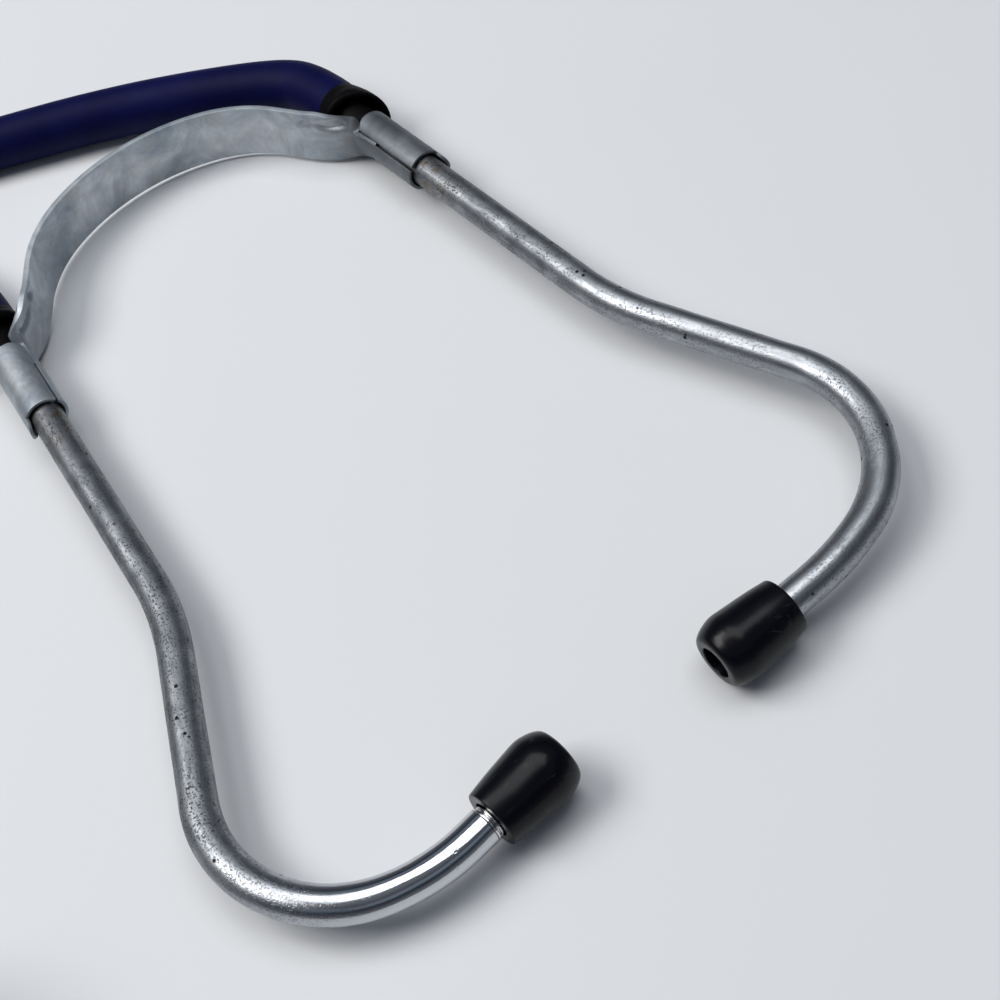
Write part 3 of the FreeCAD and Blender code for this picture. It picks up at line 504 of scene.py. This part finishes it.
def membrane_plastic():
    """The diaphragm: pale resin with a fine woven ground and light rub marks."""
    m = Paint("diaphragm_resin").set(specular=0.5, coat=0.25, coat_roughness=0.15)
    threads = []
    for way in "XY":
        wave = m.tree.nodes.new("ShaderNodeTexWave")
        wave.bands_direction = way
        wave.inputs["Scale"].default_value = 520
        m.tree.links.new(m.place, wave.inputs["Vector"])
        threads.append(wave.outputs["Fac"])
    cloth = m.math("MULTIPLY", *threads)
    m.link(m.mix(cloth, (0.62, 0.61, 0.56), (0.72, 0.71, 0.67)), "Base Color")
    m.link(m.math("ADD", m.math("MULTIPLY", m.noise(120, 6), 0.2), 0.2), "Roughness")
    m.link(m.bump(cloth, 0.08, 0.00005), "Normal")
    return m.material


def table_top():
    """A plain pale floor with a barely visible grain."""
    m = Paint("pale_floor").set(roughness=0.62, specular=0.3)
    m.link(m.mix(m.noise(9, 5), (0.735, 0.745, 0.76), (0.765, 0.775, 0.785)), "Base Color")
    m.link(m.bump(m.noise(700, 4), 0.05, 0.0002), "Normal")
    return m.material


HOSE_SKIN = navy_hose()
STEEL = zinc_steel("worn_steel", 0.8)
# Painted shade: each sleeve and its neck is scaled darker or lighter per side, though both sides are the same steel.
SLEEVE_PAINTED_SHADES = {"right": 0.38, "left": 0.84}    # of each sleeve, against the strip's 1
TIP_RUBBER = black_rubber("ear_tip_rubber", (0.0018, 0.0019, 0.0042), (0.08, 0.08, 0.09), 0.25, 0.20)
COLLAR_RUBBER = black_rubber("collar_rubber", (0.0026, 0.0022, 0.0028), (0.05, 0.038, 0.03), 0.50, 0.06)
SEAL_RUBBER = black_rubber("seal_rubber", (0.006, 0.006, 0.007), (0.07, 0.07, 0.075), 0.42, 0.2)
HEAD_METAL = turned_chrome("chestpiece_chrome", (0.68, 0.69, 0.71), 0.10)
FITTING_METAL = turned_chrome("fitting_chrome", (0.66, 0.68, 0.70), 0.12)
INSERT_METAL = turned_chrome("insert_chrome", (0.72, 0.72, 0.72), 0.07)


# ---------------------------------------------------------------- hoses

FORK_LEG = 16.0                  # from the Y-piece's middle to a hose's end


def fork():
    """The Y-piece's middle and its three directions, in plan."""
    def towards(degrees):
        return Vector((math.cos(math.radians(degrees)), math.sin(math.radians(degrees)), 0))

    heading, half = 100.0, 24.0
    legs = {"main": towards(heading), "right": towards(heading + 180 + half), "left": towards(heading + 180 - half)}
    return headset(-62.0, 262.0, LYING), legs


def fork_end(leg, further=0.0):
    """Where a hose ends on a leg of the Y-piece, or a point that many millimetres further out."""
    middle, legs = fork()
    return middle + legs[leg] * (FORK_LEG + further) * MM


ROUTES = {
    "right_arm_tube": [
        on_sleeve("right", COLLAR_END), on_sleeve("right", COLLAR_END + 8.5),
        headset(36.0, 158.8, 6.3), headset(22.2, 170.3, 5.4), headset(4.0, 181.6, LYING),
        headset(-15.0, 190.3, LYING), headset(-31.0, 197.5, LYING), headset(-42.0, 212.5, LYING),
        fork_end("right", 14.0), fork_end("right")],
    "left_arm_tube": [
        on_sleeve("left", COLLAR_END), on_sleeve("left", COLLAR_END + 10.0),
        headset(-43.0, 168.0, 6.2), headset(-55.0, 180.5, 5.4), headset(-70.0, 189.0, LYING),
        headset(-82.0, 202.0, LYING), headset(-83.0, 218.5, LYING), fork_end("left", 16.0), fork_end("left")],
    "main_tube": [
        fork_end("main"), fork_end("main", 14.0), headset(-70.5, 308.0, LYING), headset(-81.0, 322.0, LYING),
        headset(-98.0, 327.0, LYING), headset(-114.0, 319.5, LYING), headset(-123.5, 303.0, LYING),
        headset(-128.0, 281.0, LYING), headset(-129.5, 256.0, LYING), headset(-128.5, 229.0, LYING),
        headset(-125.5, 201.0, LYING), headset(-124.0, 172.0, LYING), headset(-126.5, 144.0, LYING + 0.2),
        headset(-130.5, 119.0, 6.1), headset(-129.3, 97.0, 9.0), mm(0, STEM_REACH + 18.0, STEM_HEIGHT),
        mm(0, STEM_REACH, STEM_HEIGHT)],
}


def spline_points(name, route):
    """Points of the route's smooth spline, read from the curve itself."""
    data = bpy.data.curves.new(name, "CURVE")
    data.dimensions, data.resolution_u = "3D", 24
    spline = data.splines.new("NURBS")
    spline.points.add(len(route) - 1)
    for point, place in zip(spline.points, route):
        point.co = (*place, 1.0)
    spline.order_u = 3
    spline.use_endpoint_u = True
    curve = bpy.data.objects.new(name, data)
    mesh = bpy.data.meshes.new_from_object(curve)
    points = [vertex.co.copy() for vertex in mesh.vertices]
    bpy.data.objects.remove(curve)
    bpy.data.meshes.remove(mesh)
    return points[:1] + [b for a, b in zip(points, points[1:]) if (b - a).length > 1e-5]


def hose(name):
    """A hose along its route: a round skin with the slight unevenness of extruded tubing."""
    path = spline_points(name + "_line", ROUTES[name])

    def radius(distance, angle):
        uneven = noise.noise(Vector((distance * 55, math.cos(angle), math.sin(angle))))
        return (HOSE_RADIUS - 0.05 + 0.05 * uneven) * MM

    obj = swept(name + "_skin", path, radius)
    paint(obj, HOSE_SKIN)
    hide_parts(name)
    return obj


right_hose = hose("right_arm_tube")
left_hose = hose("left_arm_tube")
main_hose = hose("main_tube")
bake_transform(right_hose)
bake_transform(left_hose)
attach(main_hose, "root")


# ---------------------------------------------------------------- spring, necks and sleeves

def walk(start, heading, steps, pitch=1.0):
    """Points and headings of a plane path of runs (length,) and arcs (radius, turn), in millimetres."""
    spot, angle = Vector(start), heading
    points = [(spot.copy(), angle)]
    for step in steps:
        ahead = Vector((math.cos(math.radians(angle)), math.sin(math.radians(angle))))
        if len(step) == 1:
            count = max(1, round(step[0] / pitch))
            points += [(spot + ahead * step[0] * n / count, angle) for n in range(1, count + 1)]
            spot = spot + ahead * step[0]
            continue
        radius, turn = step
        side = math.copysign(1.0, turn)
        centre = spot + Vector((-ahead.y, ahead.x)) * radius * side
        count = max(2, round(radius * math.radians(abs(turn)) / pitch))
        for n in range(1, count + 1):
            arm = Matrix.Rotation(math.radians(turn * n / count), 2) @ (spot - centre)
            points.append((centre + arm, angle + turn * n / count))
        spot, angle = points[-1][0].copy(), angle + turn
    return points


RIDGE = 0.40                     # share of the strip's width, from its top, where the neck's ridge runs
LIP = math.radians(38)           # how far above the inner side the seam lies
SEAM_GAP = math.radians(5)       # the seam's half width
ROLL = math.radians(107)         # how far the lower part of the neck wraps the sleeve
SLEEVE_MIDDLE = (SLEEVE["outside"] + SLEEVE["inside"]) / 2
TUBE_CLEAR = 3.1                 # the neck keeps this far from the ear tube's axis
LANDS, ENDS = 16.6, 11.0         # how far above the rim the neck meets the sleeve, and where it has merged
FLAT_ABOVE = 24.0                # above this the strip is flat
LEAN = 1.9                       # how far the neck's top leans out and sinks towards the sleeve
DENT = dict(depth=0.75, above=21.9, half_length=3.2, share=0.48, half_width=0.47)
CURL, TUCK = 0.80, 0.35          # how far the strip bows beside the dent, and the ridge's end tucks in
EASE, NECK_STEPS = 9.0, 36       # of the curve from strip to sleeve: its ends' pull, and its stations
MERGE_STEPS, SINK = 10, 0.14     # along the sleeve: stations, and how far the neck sinks into it


def window(low, high, soft, value):
    """One between low and high, falling to nothing within the soft margin inside each."""
    return smooth_step(low, low + soft, value) * (1 - smooth_step(high - soft, high, value))


def neck_section(above, across):
    """Offset outwards and height of the neck that far above the rim, across from its top to its foot."""
    half = STRIP["width"] / 2
    roll = 1 - smooth_step(ENDS, FLAT_ABOVE, above)
    seam = LIP - SEAM_GAP
    ridge = half * (1 - 2 * RIDGE) * (1 - roll) + SLEEVE_MIDDLE * math.sin(seam) * roll
    if across >= RIDGE:
        share = (across - RIDGE) / (1 - RIDGE)
        angle = seam - share * ROLL
        flat = (0.0, half * (1 - 2 * across))
        rolled = (SLEEVE_MIDDLE * (1 - math.cos(angle)), SLEEVE_MIDDLE * math.sin(angle))
        return tuple(a + (b - a) * roll for a, b in zip(flat, rolled))
    share = 1 - across / RIDGE
    top = half - LEAN * (1 - smooth_step(17.6, 25.0, above))
    top = ridge + (top - ridge) * smooth_step(16.9, 18.1, above)
    lean = LEAN * (1 - smooth_step(17.4, 22.5, above)) * share ** 1.3
    lean = lean * smooth_step(16.9, 17.35, above)
    inside = (1 - ((above - DENT["above"]) / DENT["half_length"]) ** 2
              - ((share - DENT["share"]) / DENT["half_width"]) ** 2)
    trough = DENT["depth"] * smooth_step(0.0, 0.75, inside)
    curl = CURL * window(24.2, 28.2, 1.5, above) * window(0.20, 0.96, 0.34, share)
    tuck = TUCK * (1 - smooth_step(16.3, 17.2, above)) * share
    offset = SLEEVE_MIDDLE * (1 - math.cos(seam)) * roll + lean + trough + curl + tuck
    return offset, ridge + (top - ridge) * share


def strip_line(side):
    """Stations of half the spring and its neck: place, outward direction and height above the sleeve's rim."""
    flip = SIDES[side]
    half = walk((0.0, STRIP["top"]), 0.0, [(STRIP["crown"][0], -STRIP["crown"][1]),
                                           (STRIP["shoulder"][0], -STRIP["shoulder"][1]), (STRIP["flat"],)], 0.5)
    rim, down = joint_at("right_tube_turn")
    rim, down = rim.xy / MM - Vector(HEADSET), down.xy
    outwards = Vector((-down.y, down.x))
    foot, heading = half[-1]
    leave = Vector((math.cos(math.radians(heading)), math.sin(math.radians(heading)))) * EASE
    meet, arrive = rim - down * LANDS - outwards * SLEEVE_MIDDLE, down * EASE
    line = [(spot, Vector((-math.sin(math.radians(angle)), math.cos(math.radians(angle))))) for spot, angle in half]
    for count in range(1, NECK_STEPS + 1):
        t = count / NECK_STEPS
        spot = (foot * (2 * t ** 3 - 3 * t ** 2 + 1) + leave * (t ** 3 - 2 * t ** 2 + t)
                + meet * (3 * t ** 2 - 2 * t ** 3) + arrive * (t ** 3 - t ** 2))
        ahead = (foot * (6 * t * t - 6 * t) + leave * (3 * t * t - 4 * t + 1)
                 + meet * (6 * t - 6 * t * t) + arrive * (3 * t * t - 2 * t)).normalized()
        line.append((spot, Vector((-ahead.y, ahead.x))))
    for count in range(1, MERGE_STEPS + 1):
        share = count / MERGE_STEPS
        sink = SINK * smooth_step(0.2, 1.0, share)
        line.append((meet + down * (LANDS - ENDS) * share + outwards * sink, outwards))
    return [(headset(flip * spot.x, spot.y), Vector((flip * out.x, out.y, 0)), (rim - spot).dot(down))
            for spot, out in line]


def normals_of(grid):
    """Unit normals of a grid of points."""
    rows, columns = len(grid), len(grid[0])
    result = []
    for r in range(rows):
        line = []
        for c in range(columns):
            along = grid[min(r + 1, rows - 1)][c] - grid[max(r - 1, 0)][c]
            across = grid[r][min(c + 1, columns - 1)] - grid[r][max(c - 1, 0)]
            line.append(along.cross(across).normalized())
        result.append(line)
    return result


def clear_of_tube(side, point):
    """A point of the neck, moved straight out from the ear tube's axis where it would touch the tube."""
    rim, down = joint_at(f"{side}_tube_turn")
    reach = point - rim
    away = reach - down * reach.dot(down)
    return point + away.normalized() * max(0.0, TUBE_CLEAR * MM - away.length)


def spring_half(side):
    """Half the leaf spring with its neck: one strip, dented and rolled towards the sleeve."""
    columns = 56
    middle = []
    for place, out, above in strip_line(side):
        row = []
        for c in range(columns):
            offset, height = neck_section(above, c / (columns - 1))
            row.append(place + out * offset * MM + Z * height * MM)
        middle.append(row)
    half = STRIP["thickness"] / 2 * MM
    normals = normals_of(middle)
    front = [[clear_of_tube(side, p + n * half) for p, n in zip(row, line)] for row, line in zip(middle, normals)]
    back = [[clear_of_tube(side, p - n * half) for p, n in zip(row, line)] for row, line in zip(middle, normals)]
    if SIDES[side] < 0:
        front, back = back, front
    obj = slab(f"{side}_spring_half", back, front)
    soften(obj, 0.22)
    return obj


def sleeve(side):
    """The rolled sleeve: an open seam on its upper inner side, a wide mouth and a tongue past the rim."""
    rim, down = joint_at(f"{side}_tube_turn")
    inner = Vector((-SIDES[side] * abs(down.y), -abs(down.x), 0))
    rows, columns = 44, 97
    outside, inside = [], []
    for r in range(rows):
        outer_row, inner_row = [], []
        for c in range(columns):
            angle = LIP + SEAM_GAP + (2 * math.pi - 2 * SEAM_GAP) * c / (columns - 1)
            off = abs(angle % (2 * math.pi) - math.pi) / math.radians(SLEEVE["tongue_half_angle"])
            tongue = SLEEVE["tongue"] * max(0.0, 1 - off ** 2) ** 0.6
            corner = SLEEVE["corner"] * (1 - smooth_step(0.0, 0.6, angle - LIP - SEAM_GAP))
            above = (SLEEVE["length"] - corner) - (SLEEVE["length"] - corner + tongue) * r / (rows - 1)
            out = inner * math.cos(angle) + Z * math.sin(angle)
            centre = rim - down * above * MM
            flare = smooth_step(SLEEVE["mouth_depth"], SLEEVE["flare_ends"], above)
            bore = SLEEVE["inside"] + (SLEEVE["mouth"] - SLEEVE["inside"]) * flare
            swell = 0.03 * noise.noise(Vector((above * 0.5, math.cos(angle), math.sin(angle) + SIDES[side])))
            outer_row.append(centre + out * (SLEEVE["outside"] - 0.03 + swell) * MM)
            inner_row.append(centre + out * bore * MM)
        outside.append(outer_row)
        inside.append(inner_row)
    if SIDES[side] < 0:
        outside, inside = inside, outside
    obj = slab(f"{side}_rolled_sleeve", outside, inside)
    soften(obj, 0.16)
    return obj


BLEND_ENDS = 27.0                # the neck's first station below this height above the sleeve's rim is taken as its foot

for side in SIDES:
    half = spring_half(side)
    paint(half, zinc_steel(f"{side}_strip_steel", SLEEVE_PAINTED_SHADES[side], 1.0))
    foot = next(place for place, _, above in strip_line(side) if above < BLEND_ENDS)
    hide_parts("leaf_spring")
    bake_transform(half)
    shell = sleeve(side)
    paint(shell, zinc_steel(f"{side}_sleeve_steel", SLEEVE_PAINTED_SHADES[side]))
    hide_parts(f"{side}_spring_sleeve")
    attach(shell, f"{side}_side")


# ---------------------------------------------------------------- ear tubes, tips and collars

TUBE_TOP = COLLAR_END - 1.0      # above the sleeve's rim
STRAIGHT, MIDDLE_RUN = 43.8, 27.0
OUTWARD_BEND = (49.8, 18.3)      # each bend's radius and its turn in degrees
BIG_BEND = (22.5, 95.3)
OUTWARD_LENGTH, BIG_LENGTH = 15.9, 37.4
END_ARC = 13.7                   # length of the last gentle bend
END_TURN = {"right": 16.0, "left": 25.0}
END_RUN = {"right": 4.9, "left": 3.0}
TUBE_TILT = 1.75                 # degrees that each tube is turned in its sleeve as it lies
FLAT_SPOT = 22.0                 # how far round the right tube's big bend its flat spot is
# How dull each tube's chrome is at distances along it in centimetres.
HAZE = {"right": [(0.0, 1.0), (6.2, 1.0), (8.4, 0.72), (11.4, 0.70), (13.4, 0.85), (17.0, 0.62), (20.0, 0.55)],
        "left": [(0.0, 1.0), (12.0, 1.0), (15.2, 0.06), (20.0, 0.06)]}


def ear_tube(side):
    """A bent tube: slightly flattened where it is bent, with one flat spot on the right tube's inner side."""
    flip = SIDES[side]
    rim, down = joint_at(f"{side}_tube_turn")
    start = on_sleeve(side, TUBE_TOP)
    turn = END_TURN[side]
    steps = [(TUBE_TOP + STRAIGHT,), (OUTWARD_BEND[0], flip * OUTWARD_BEND[1]), (MIDDLE_RUN,),
             (BIG_BEND[0], -flip * BIG_BEND[1]), (END_ARC / math.radians(turn), -flip * turn), (END_RUN[side],)]
    heading = math.degrees(math.atan2(down.y, down.x))
    plan = walk(start.xy / MM, heading, steps, pitch=0.8)
    tilt = Matrix.Rotation(math.radians(flip * TUBE_TILT), 4, down)
    twist = Matrix.Translation(rim) @ tilt @ Matrix.Translation(-rim)
    points = [twist @ mm(spot.x, spot.y, REST) for spot, _ in plan]
    bend_start = TUBE_TOP + STRAIGHT + OUTWARD_LENGTH + MIDDLE_RUN
    bend_end = bend_start + BIG_LENGTH

    def radius(distance, angle):
        d = distance / MM
        bent = smooth_step(bend_start - 4, bend_start + 6, d) * (1 - smooth_step(bend_end - 6, bend_end + 4, d))
        squeeze = -0.10 * bent * math.cos(2 * angle)
        inner = math.cos(angle - flip * math.pi / 2)
        ripple = 0.0
        if side == "right":
            ripple = 0.16 * max(0.0, inner) ** 3 * math.exp(-((d - bend_start - FLAT_SPOT) / 2.2) ** 2)
        dents = 0.025 * noise.noise(Vector((d * 0.16, math.cos(angle) * 1.5, math.sin(angle) * 1.5 + flip * 3)))
        return (TUBE_RADIUS - 0.03 + squeeze - ripple + dents) * MM

    obj = swept(f"{side}_ear_tube_skin", points, radius, sides=64)
    paint(obj, pitted_chrome(f"{side}_tube_chrome", HAZE[side]))
    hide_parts(f"{side}_ear_tube")
    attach(obj, f"{side}_ear")


TIP_SEAT = {"right": -0.15, "left": 1.35}    # from each tube's end; the left tip is unscrewed a little
TIP_BORE, MOUTH = 1.5, 2.75
TIP_WALL = 3.4                   # a tip's radius beyond this is on its outside


def ear_tip(side):
    """A rubber ear tip: flat base round the tube, a cone, well-rounded shoulders and a plain mouth."""
    end, towards = joint_at(f"{side}_tip_turn")
    seat = TIP_SEAT[side]
    length, base, widest, face = 14.2, 4.8, 5.85, 4.1
    corners = [(3.12, 1.8, 0.1), (3.12, 0.0, 0.12), (base, 0.0, 0.28), (base + 0.5, 3.6, 1.0),
               (widest - 0.22, 7.4, 1.6), (widest + 0.06, 10.6, 1.5), (widest - 0.62, length - 1.3, 1.5),
               (face + 0.35, length, 1.1), (MOUTH, length, 0.22), (MOUTH - 0.15, length - 3.0, 0.4),
               (TIP_BORE, length - 3.6, 0.3), (TIP_BORE, 9.8, 0.0), (2.05, 9.8, 0.0), (2.05, 1.8, 0.0)]

    def uneven(radius, height, angle):
        wobble = noise.noise(Vector((math.cos(angle) * 0.9, math.sin(angle) * 0.9, height * 0.12 + SIDES[side] * 4)))
        return min(radius + (0.05 * wobble - 0.03 if radius > TIP_WALL else 0.0), widest)

    obj = turned(f"{side}_tip_rubber", corners, facing(end + towards * seat * MM, towards), 96, uneven, angle=55)
    paint(obj, TIP_RUBBER)
    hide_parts(f"{side}_ear_tip")
    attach(obj, f"{side}_tip")


THREAD_PITCH = 0.8


def tip_insert(side):
    """The plated insert between tube and tip: two fine polished rings, then the thread's crests and roots."""
    end, towards = joint_at(f"{side}_tip_turn")
    corners = [(1.0, -2.8, 0.0), (2.28, -2.8, 0.1), (2.28, 0.0, 0.0), (2.45, 0.0, 0.0), (2.5, 0.14, 0.05),
               (2.97, 0.16, 0.1), (2.97, 0.56, 0.12), (2.4, 0.62, 0.05), (2.35, 0.86, 0.05), (2.73, 0.94, 0.1),
               (2.73, 1.4, 0.12), (1.65, 1.5, 0.05)]
    for low in (1.9 + turn * THREAD_PITCH for turn in range(9)):
        corners += [(1.65, low, 0.02), (1.98, low + 0.32, 0.04), (1.98, low + 0.48, 0.04)]
    corners += [(1.65, 9.1, 0.05), (1.0, 9.1, 0.0)]
    obj = turned(f"{side}_insert_chrome", corners, facing(end, towards), 72)
    paint(obj, INSERT_METAL)
    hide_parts(f"{side}_tip_insert")
    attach(obj, f"{side}_ear")


def tube_collar(side):
    """The rubber collar: a dark cup with a slanting mouth, a hub on the tube and a nose that meets the hose."""
    down = joint_at(f"{side}_tube_turn")[1]
    wide, length, hub = COLLAR["radius"], COLLAR["length"], 3.5
    corners = [(TUBE_RADIUS + 0.05, 0.0, 0.0), (hub, 0.0, 0.15), (hub, 6.4, 0.3), (wide - 1.6, 6.4, 0.5),
               (wide - 0.95, 0.3, 0.2), (wide - 0.7, 0.0, 0.22), (wide - 0.22, 0.0, 0.25), (wide, 0.7, 0.4),
               (wide - 0.03, 3.6, 1.2), (HOSE_RADIUS + 0.4, 7.7, 1.0), (HOSE_RADIUS - 0.02, length, 0.15),
               (TUBE_RADIUS + 0.05, length, 0.0)]
    place = facing(on_sleeve(side, SLEEVE["length"] + COLLAR["gap"]), -down)
    obj = turned(f"{side}_collar_rubber", corners, place, 96)
    inner = Vector((-SIDES[side] * abs(down.y), -abs(down.x), 0))
    open_side = math.radians(COLLAR["open_side"])
    opening = place.to_3x3().inverted() @ (inner * math.cos(open_side) + Z * math.sin(open_side))
    rise = math.tan(math.radians(COLLAR["slant"]))
    back, level = place.inverted(), 7.6
    for vertex in obj.data.vertices:
        spot = back @ vertex.co / MM
        if math.hypot(spot.x, spot.y) > hub + 0.1 and spot.z < level:
            lift = rise * (wide + spot.x * opening.x + spot.y * opening.y)
            spot.z = lift + spot.z * (level - lift) / level
            vertex.co = place @ (spot * MM)
    paint(obj, COLLAR_RUBBER)
    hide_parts(f"{side}_tube_collar")
    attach(obj, f"{side}_side")


for side in SIDES:
    ear_tube(side)
    tip_insert(side)
    ear_tip(side)
    tube_collar(side)


# ---------------------------------------------------------------- chestpiece

UPRIGHT = Matrix.Identity(4)


def chest_head():
    """The turned head with its stem boss and the hole of its index screw."""
    corners = [(1.6, 4.4, 0.2), (16.9, 2.8, 0.3), (17.1, 1.3, 0.0), (20.5, 1.3, 0.0), (20.5, 6.4, 0.3),
               (19.3, 7.2, 0.5), (13.5, 8.4, 1.5), (11.0, 9.6, 1.0), (11.0, 17.7, 0.8), (11.8, 19.1, 1.0),
               (13.6, 21.5, 1.4), (15.2, 25.2, 1.6), (15.95, 28.7, 0.6), (15.95, 30.2, 0.2), (14.6, 30.2, 0.35),
               (13.2, 26.0, 1.6), (10.0, 22.2, 1.6), (5.0, 20.0, 1.4), (1.6, 19.2, 0.5)]
    head = turned("chest_head_turned", corners, UPRIGHT, 160)
    boss = turned("chest_boss", [(0.0, -11.6, 0.0), (5.4, -11.6, 0.5), (5.4, 13.0, 0.5), (0.0, 13.0, 0.0)],
                  facing(mm(0, 0, STEM_HEIGHT), Vector((0, 1, 0))), 96)
    combined(head, boss, "UNION")
    bore = turned("chest_bore", [(0.0, -13.0, 0.0), (3.55, -13.0, 0.0), (3.55, 15.0, 0.0), (0.0, 15.0, 0.0)],
                  facing(mm(0, 0, STEM_HEIGHT), Vector((0, 1, 0))), 96)
    combined(head, bore, "DIFFERENCE")
    hole = turned("chest_hole", [(0.0, 2.0, 0.0), (1.3, 2.0, 0.0), (1.3, 13.0, 0.0), (0.0, 13.0, 0.0)],
                  facing(mm(0, -4.5, STEM_HEIGHT), Vector((1, 0, 0))), 48)
    combined(head, hole, "DIFFERENCE")
    smooth_shaded(head.data, 28)
    head.name = "chest_head_chrome"
    return head


def knurled(radius, height, angle):
    """Coin-edge knurling round the ring's side."""
    if radius < 22.9 or not 1.2 < height < 4.8:
        return radius
    return radius - 0.22 * (0.5 + 0.5 * math.cos(angle * 120)) ** 2


def chest_pieces():
    """The head, its ring, rim and diaphragm, each with its body, slot, material and the node it stands for."""
    ring = turned("ring_chrome", [(18.5, 0.0, 0.15), (22.4, 0.0, 0.3), (23.0, 0.7, 0.35), (23.0, 1.25, 0.0),
                                  (23.0, 1.3, 0.0), (23.0, 4.7, 0.0), (23.0, 4.75, 0.0), (23.0, 5.3, 0.35),
                                  (22.4, 6.0, 0.3), (20.6, 6.0, 0.15), (20.6, 0.8, 0.0), (18.5, 0.8, 0.1)],
                  UPRIGHT, 960, knurled, angle=50)
    rim = turned("rim_rubber", [(16.0, 28.8, 0.1), (16.8, 27.8, 0.3), (17.1, 28.4, 0.3), (17.1, 30.8, 0.7),
                                (16.2, 31.6, 0.7), (14.6, 31.6, 0.5), (14.05, 31.0, 0.4), (14.05, 30.2, 0.05),
                                (16.0, 30.2, 0.0)], UPRIGHT, 128)
    disc = turned("diaphragm_disc", [(0.0, 0.0, 0.0), (18.2, 0.0, 0.12), (18.2, 0.85, 0.05), (20.3, 0.85, 0.05),
                                     (20.3, 1.25, 0.05), (17.8, 1.25, 0.05), (17.8, 0.4, 0.1), (0.0, 0.4, 0.0)],
                  UPRIGHT, 128)
    return [(chest_head(), "chest_head", "head_metal", HEAD_METAL, "chestpiece_head"),
            (ring, "ring", "head_metal", HEAD_METAL, "diaphragm_ring"),
            (rim, "chest_head", "seal_rubber", SEAL_RUBBER, "bell_rim"),
            (disc, "chest_head", "membrane", membrane_plastic(), "diaphragm")]


for obj, body, slot, material, node in chest_pieces():
    paint(obj, material)
    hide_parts(node)
    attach(obj, body)

CARRIED = {"y_connector": FITTING_METAL, "chestpiece_stem": FITTING_METAL, "stem_clip": STEEL,
           "stem_seal": SEAL_RUBBER, "index_ball": INSERT_METAL, "index_spring": STEEL, "index_screw": INSERT_METAL}
for node, material in CARRIED.items():
    for material_slot in frame["nodes"][node].material_slots:
        material_slot.material = material


# ---------------------------------------------------------------- floor and light

def floor():
    """A plain table top, just under the object."""
    vertices = [mm(x, y, -0.1) for x, y in ((-1800, -1800), (1900, -1800), (1900, 1900), (-1800, 1900))]
    obj = piece("floor", vertices, [[0, 1, 2, 3]])
    obj.data.materials.append(table_top())


def area_light(name, place, target, size, energy, tone):
    """A soft light that looks at target."""
    data = bpy.data.lights.new(name, "AREA")
    data.shape = "RECTANGLE"
    data.size, data.size_y = size
    data.energy, data.color = energy, tone
    obj = bpy.data.objects.new(name, data)
    bpy.context.collection.objects.link(obj)
    obj.location = place
    obj.rotation_euler = (Vector(target) - Vector(place)).to_track_quat("-Z", "Y").to_euler()


def surroundings():
    """A plain room: dim and bluish overhead, darker near the horizon, with one soft bright side."""
    world = bpy.data.worlds.new("room")
    bpy.context.scene.world = world
    world.use_nodes = True
    tree = world.node_tree
    place = tree.nodes.new("ShaderNodeTexCoord")
    split = tree.nodes.new("ShaderNodeSeparateXYZ")
    tree.links.new(place.outputs["Generated"], split.inputs["Vector"])
    ramp = tree.nodes.new("ShaderNodeValToRGB")
    stops = [(0.0, (0.20, 0.21, 0.23)), (0.50, (0.03, 0.032, 0.045)), (0.58, (0.07, 0.12, 0.16)),
             (0.70, (0.24, 0.26, 0.30)), (0.84, (0.09, 0.10, 0.125)), (1.0, (0.22, 0.235, 0.26))]
    elements = ramp.color_ramp.elements
    while len(elements) < len(stops):
        elements.new(0.5)
    for element, (position, tone) in zip(elements, stops):
        element.position, element.color = position, (*tone, 1)
    tree.links.new(split.outputs["Z"], ramp.inputs["Fac"])
    background = tree.nodes["Background"]
    background.inputs["Strength"].default_value = 0.9
    tree.links.new(ramp.outputs["Color"], background.inputs["Color"])


floor()
surroundings()
bpy.context.scene.view_settings.view_transform = "Standard"
area_light("window", (-0.50, 0.50, 1.00), (0.12, 0.0, 0.0), (0.80, 0.55), 10.5, (1.0, 0.985, 0.97))
area_light("ceiling", (0.35, 0.25, 1.5), (0.12, 0.0, 0.0), (1.3, 0.9), 10.0, (0.96, 0.98, 1.0))
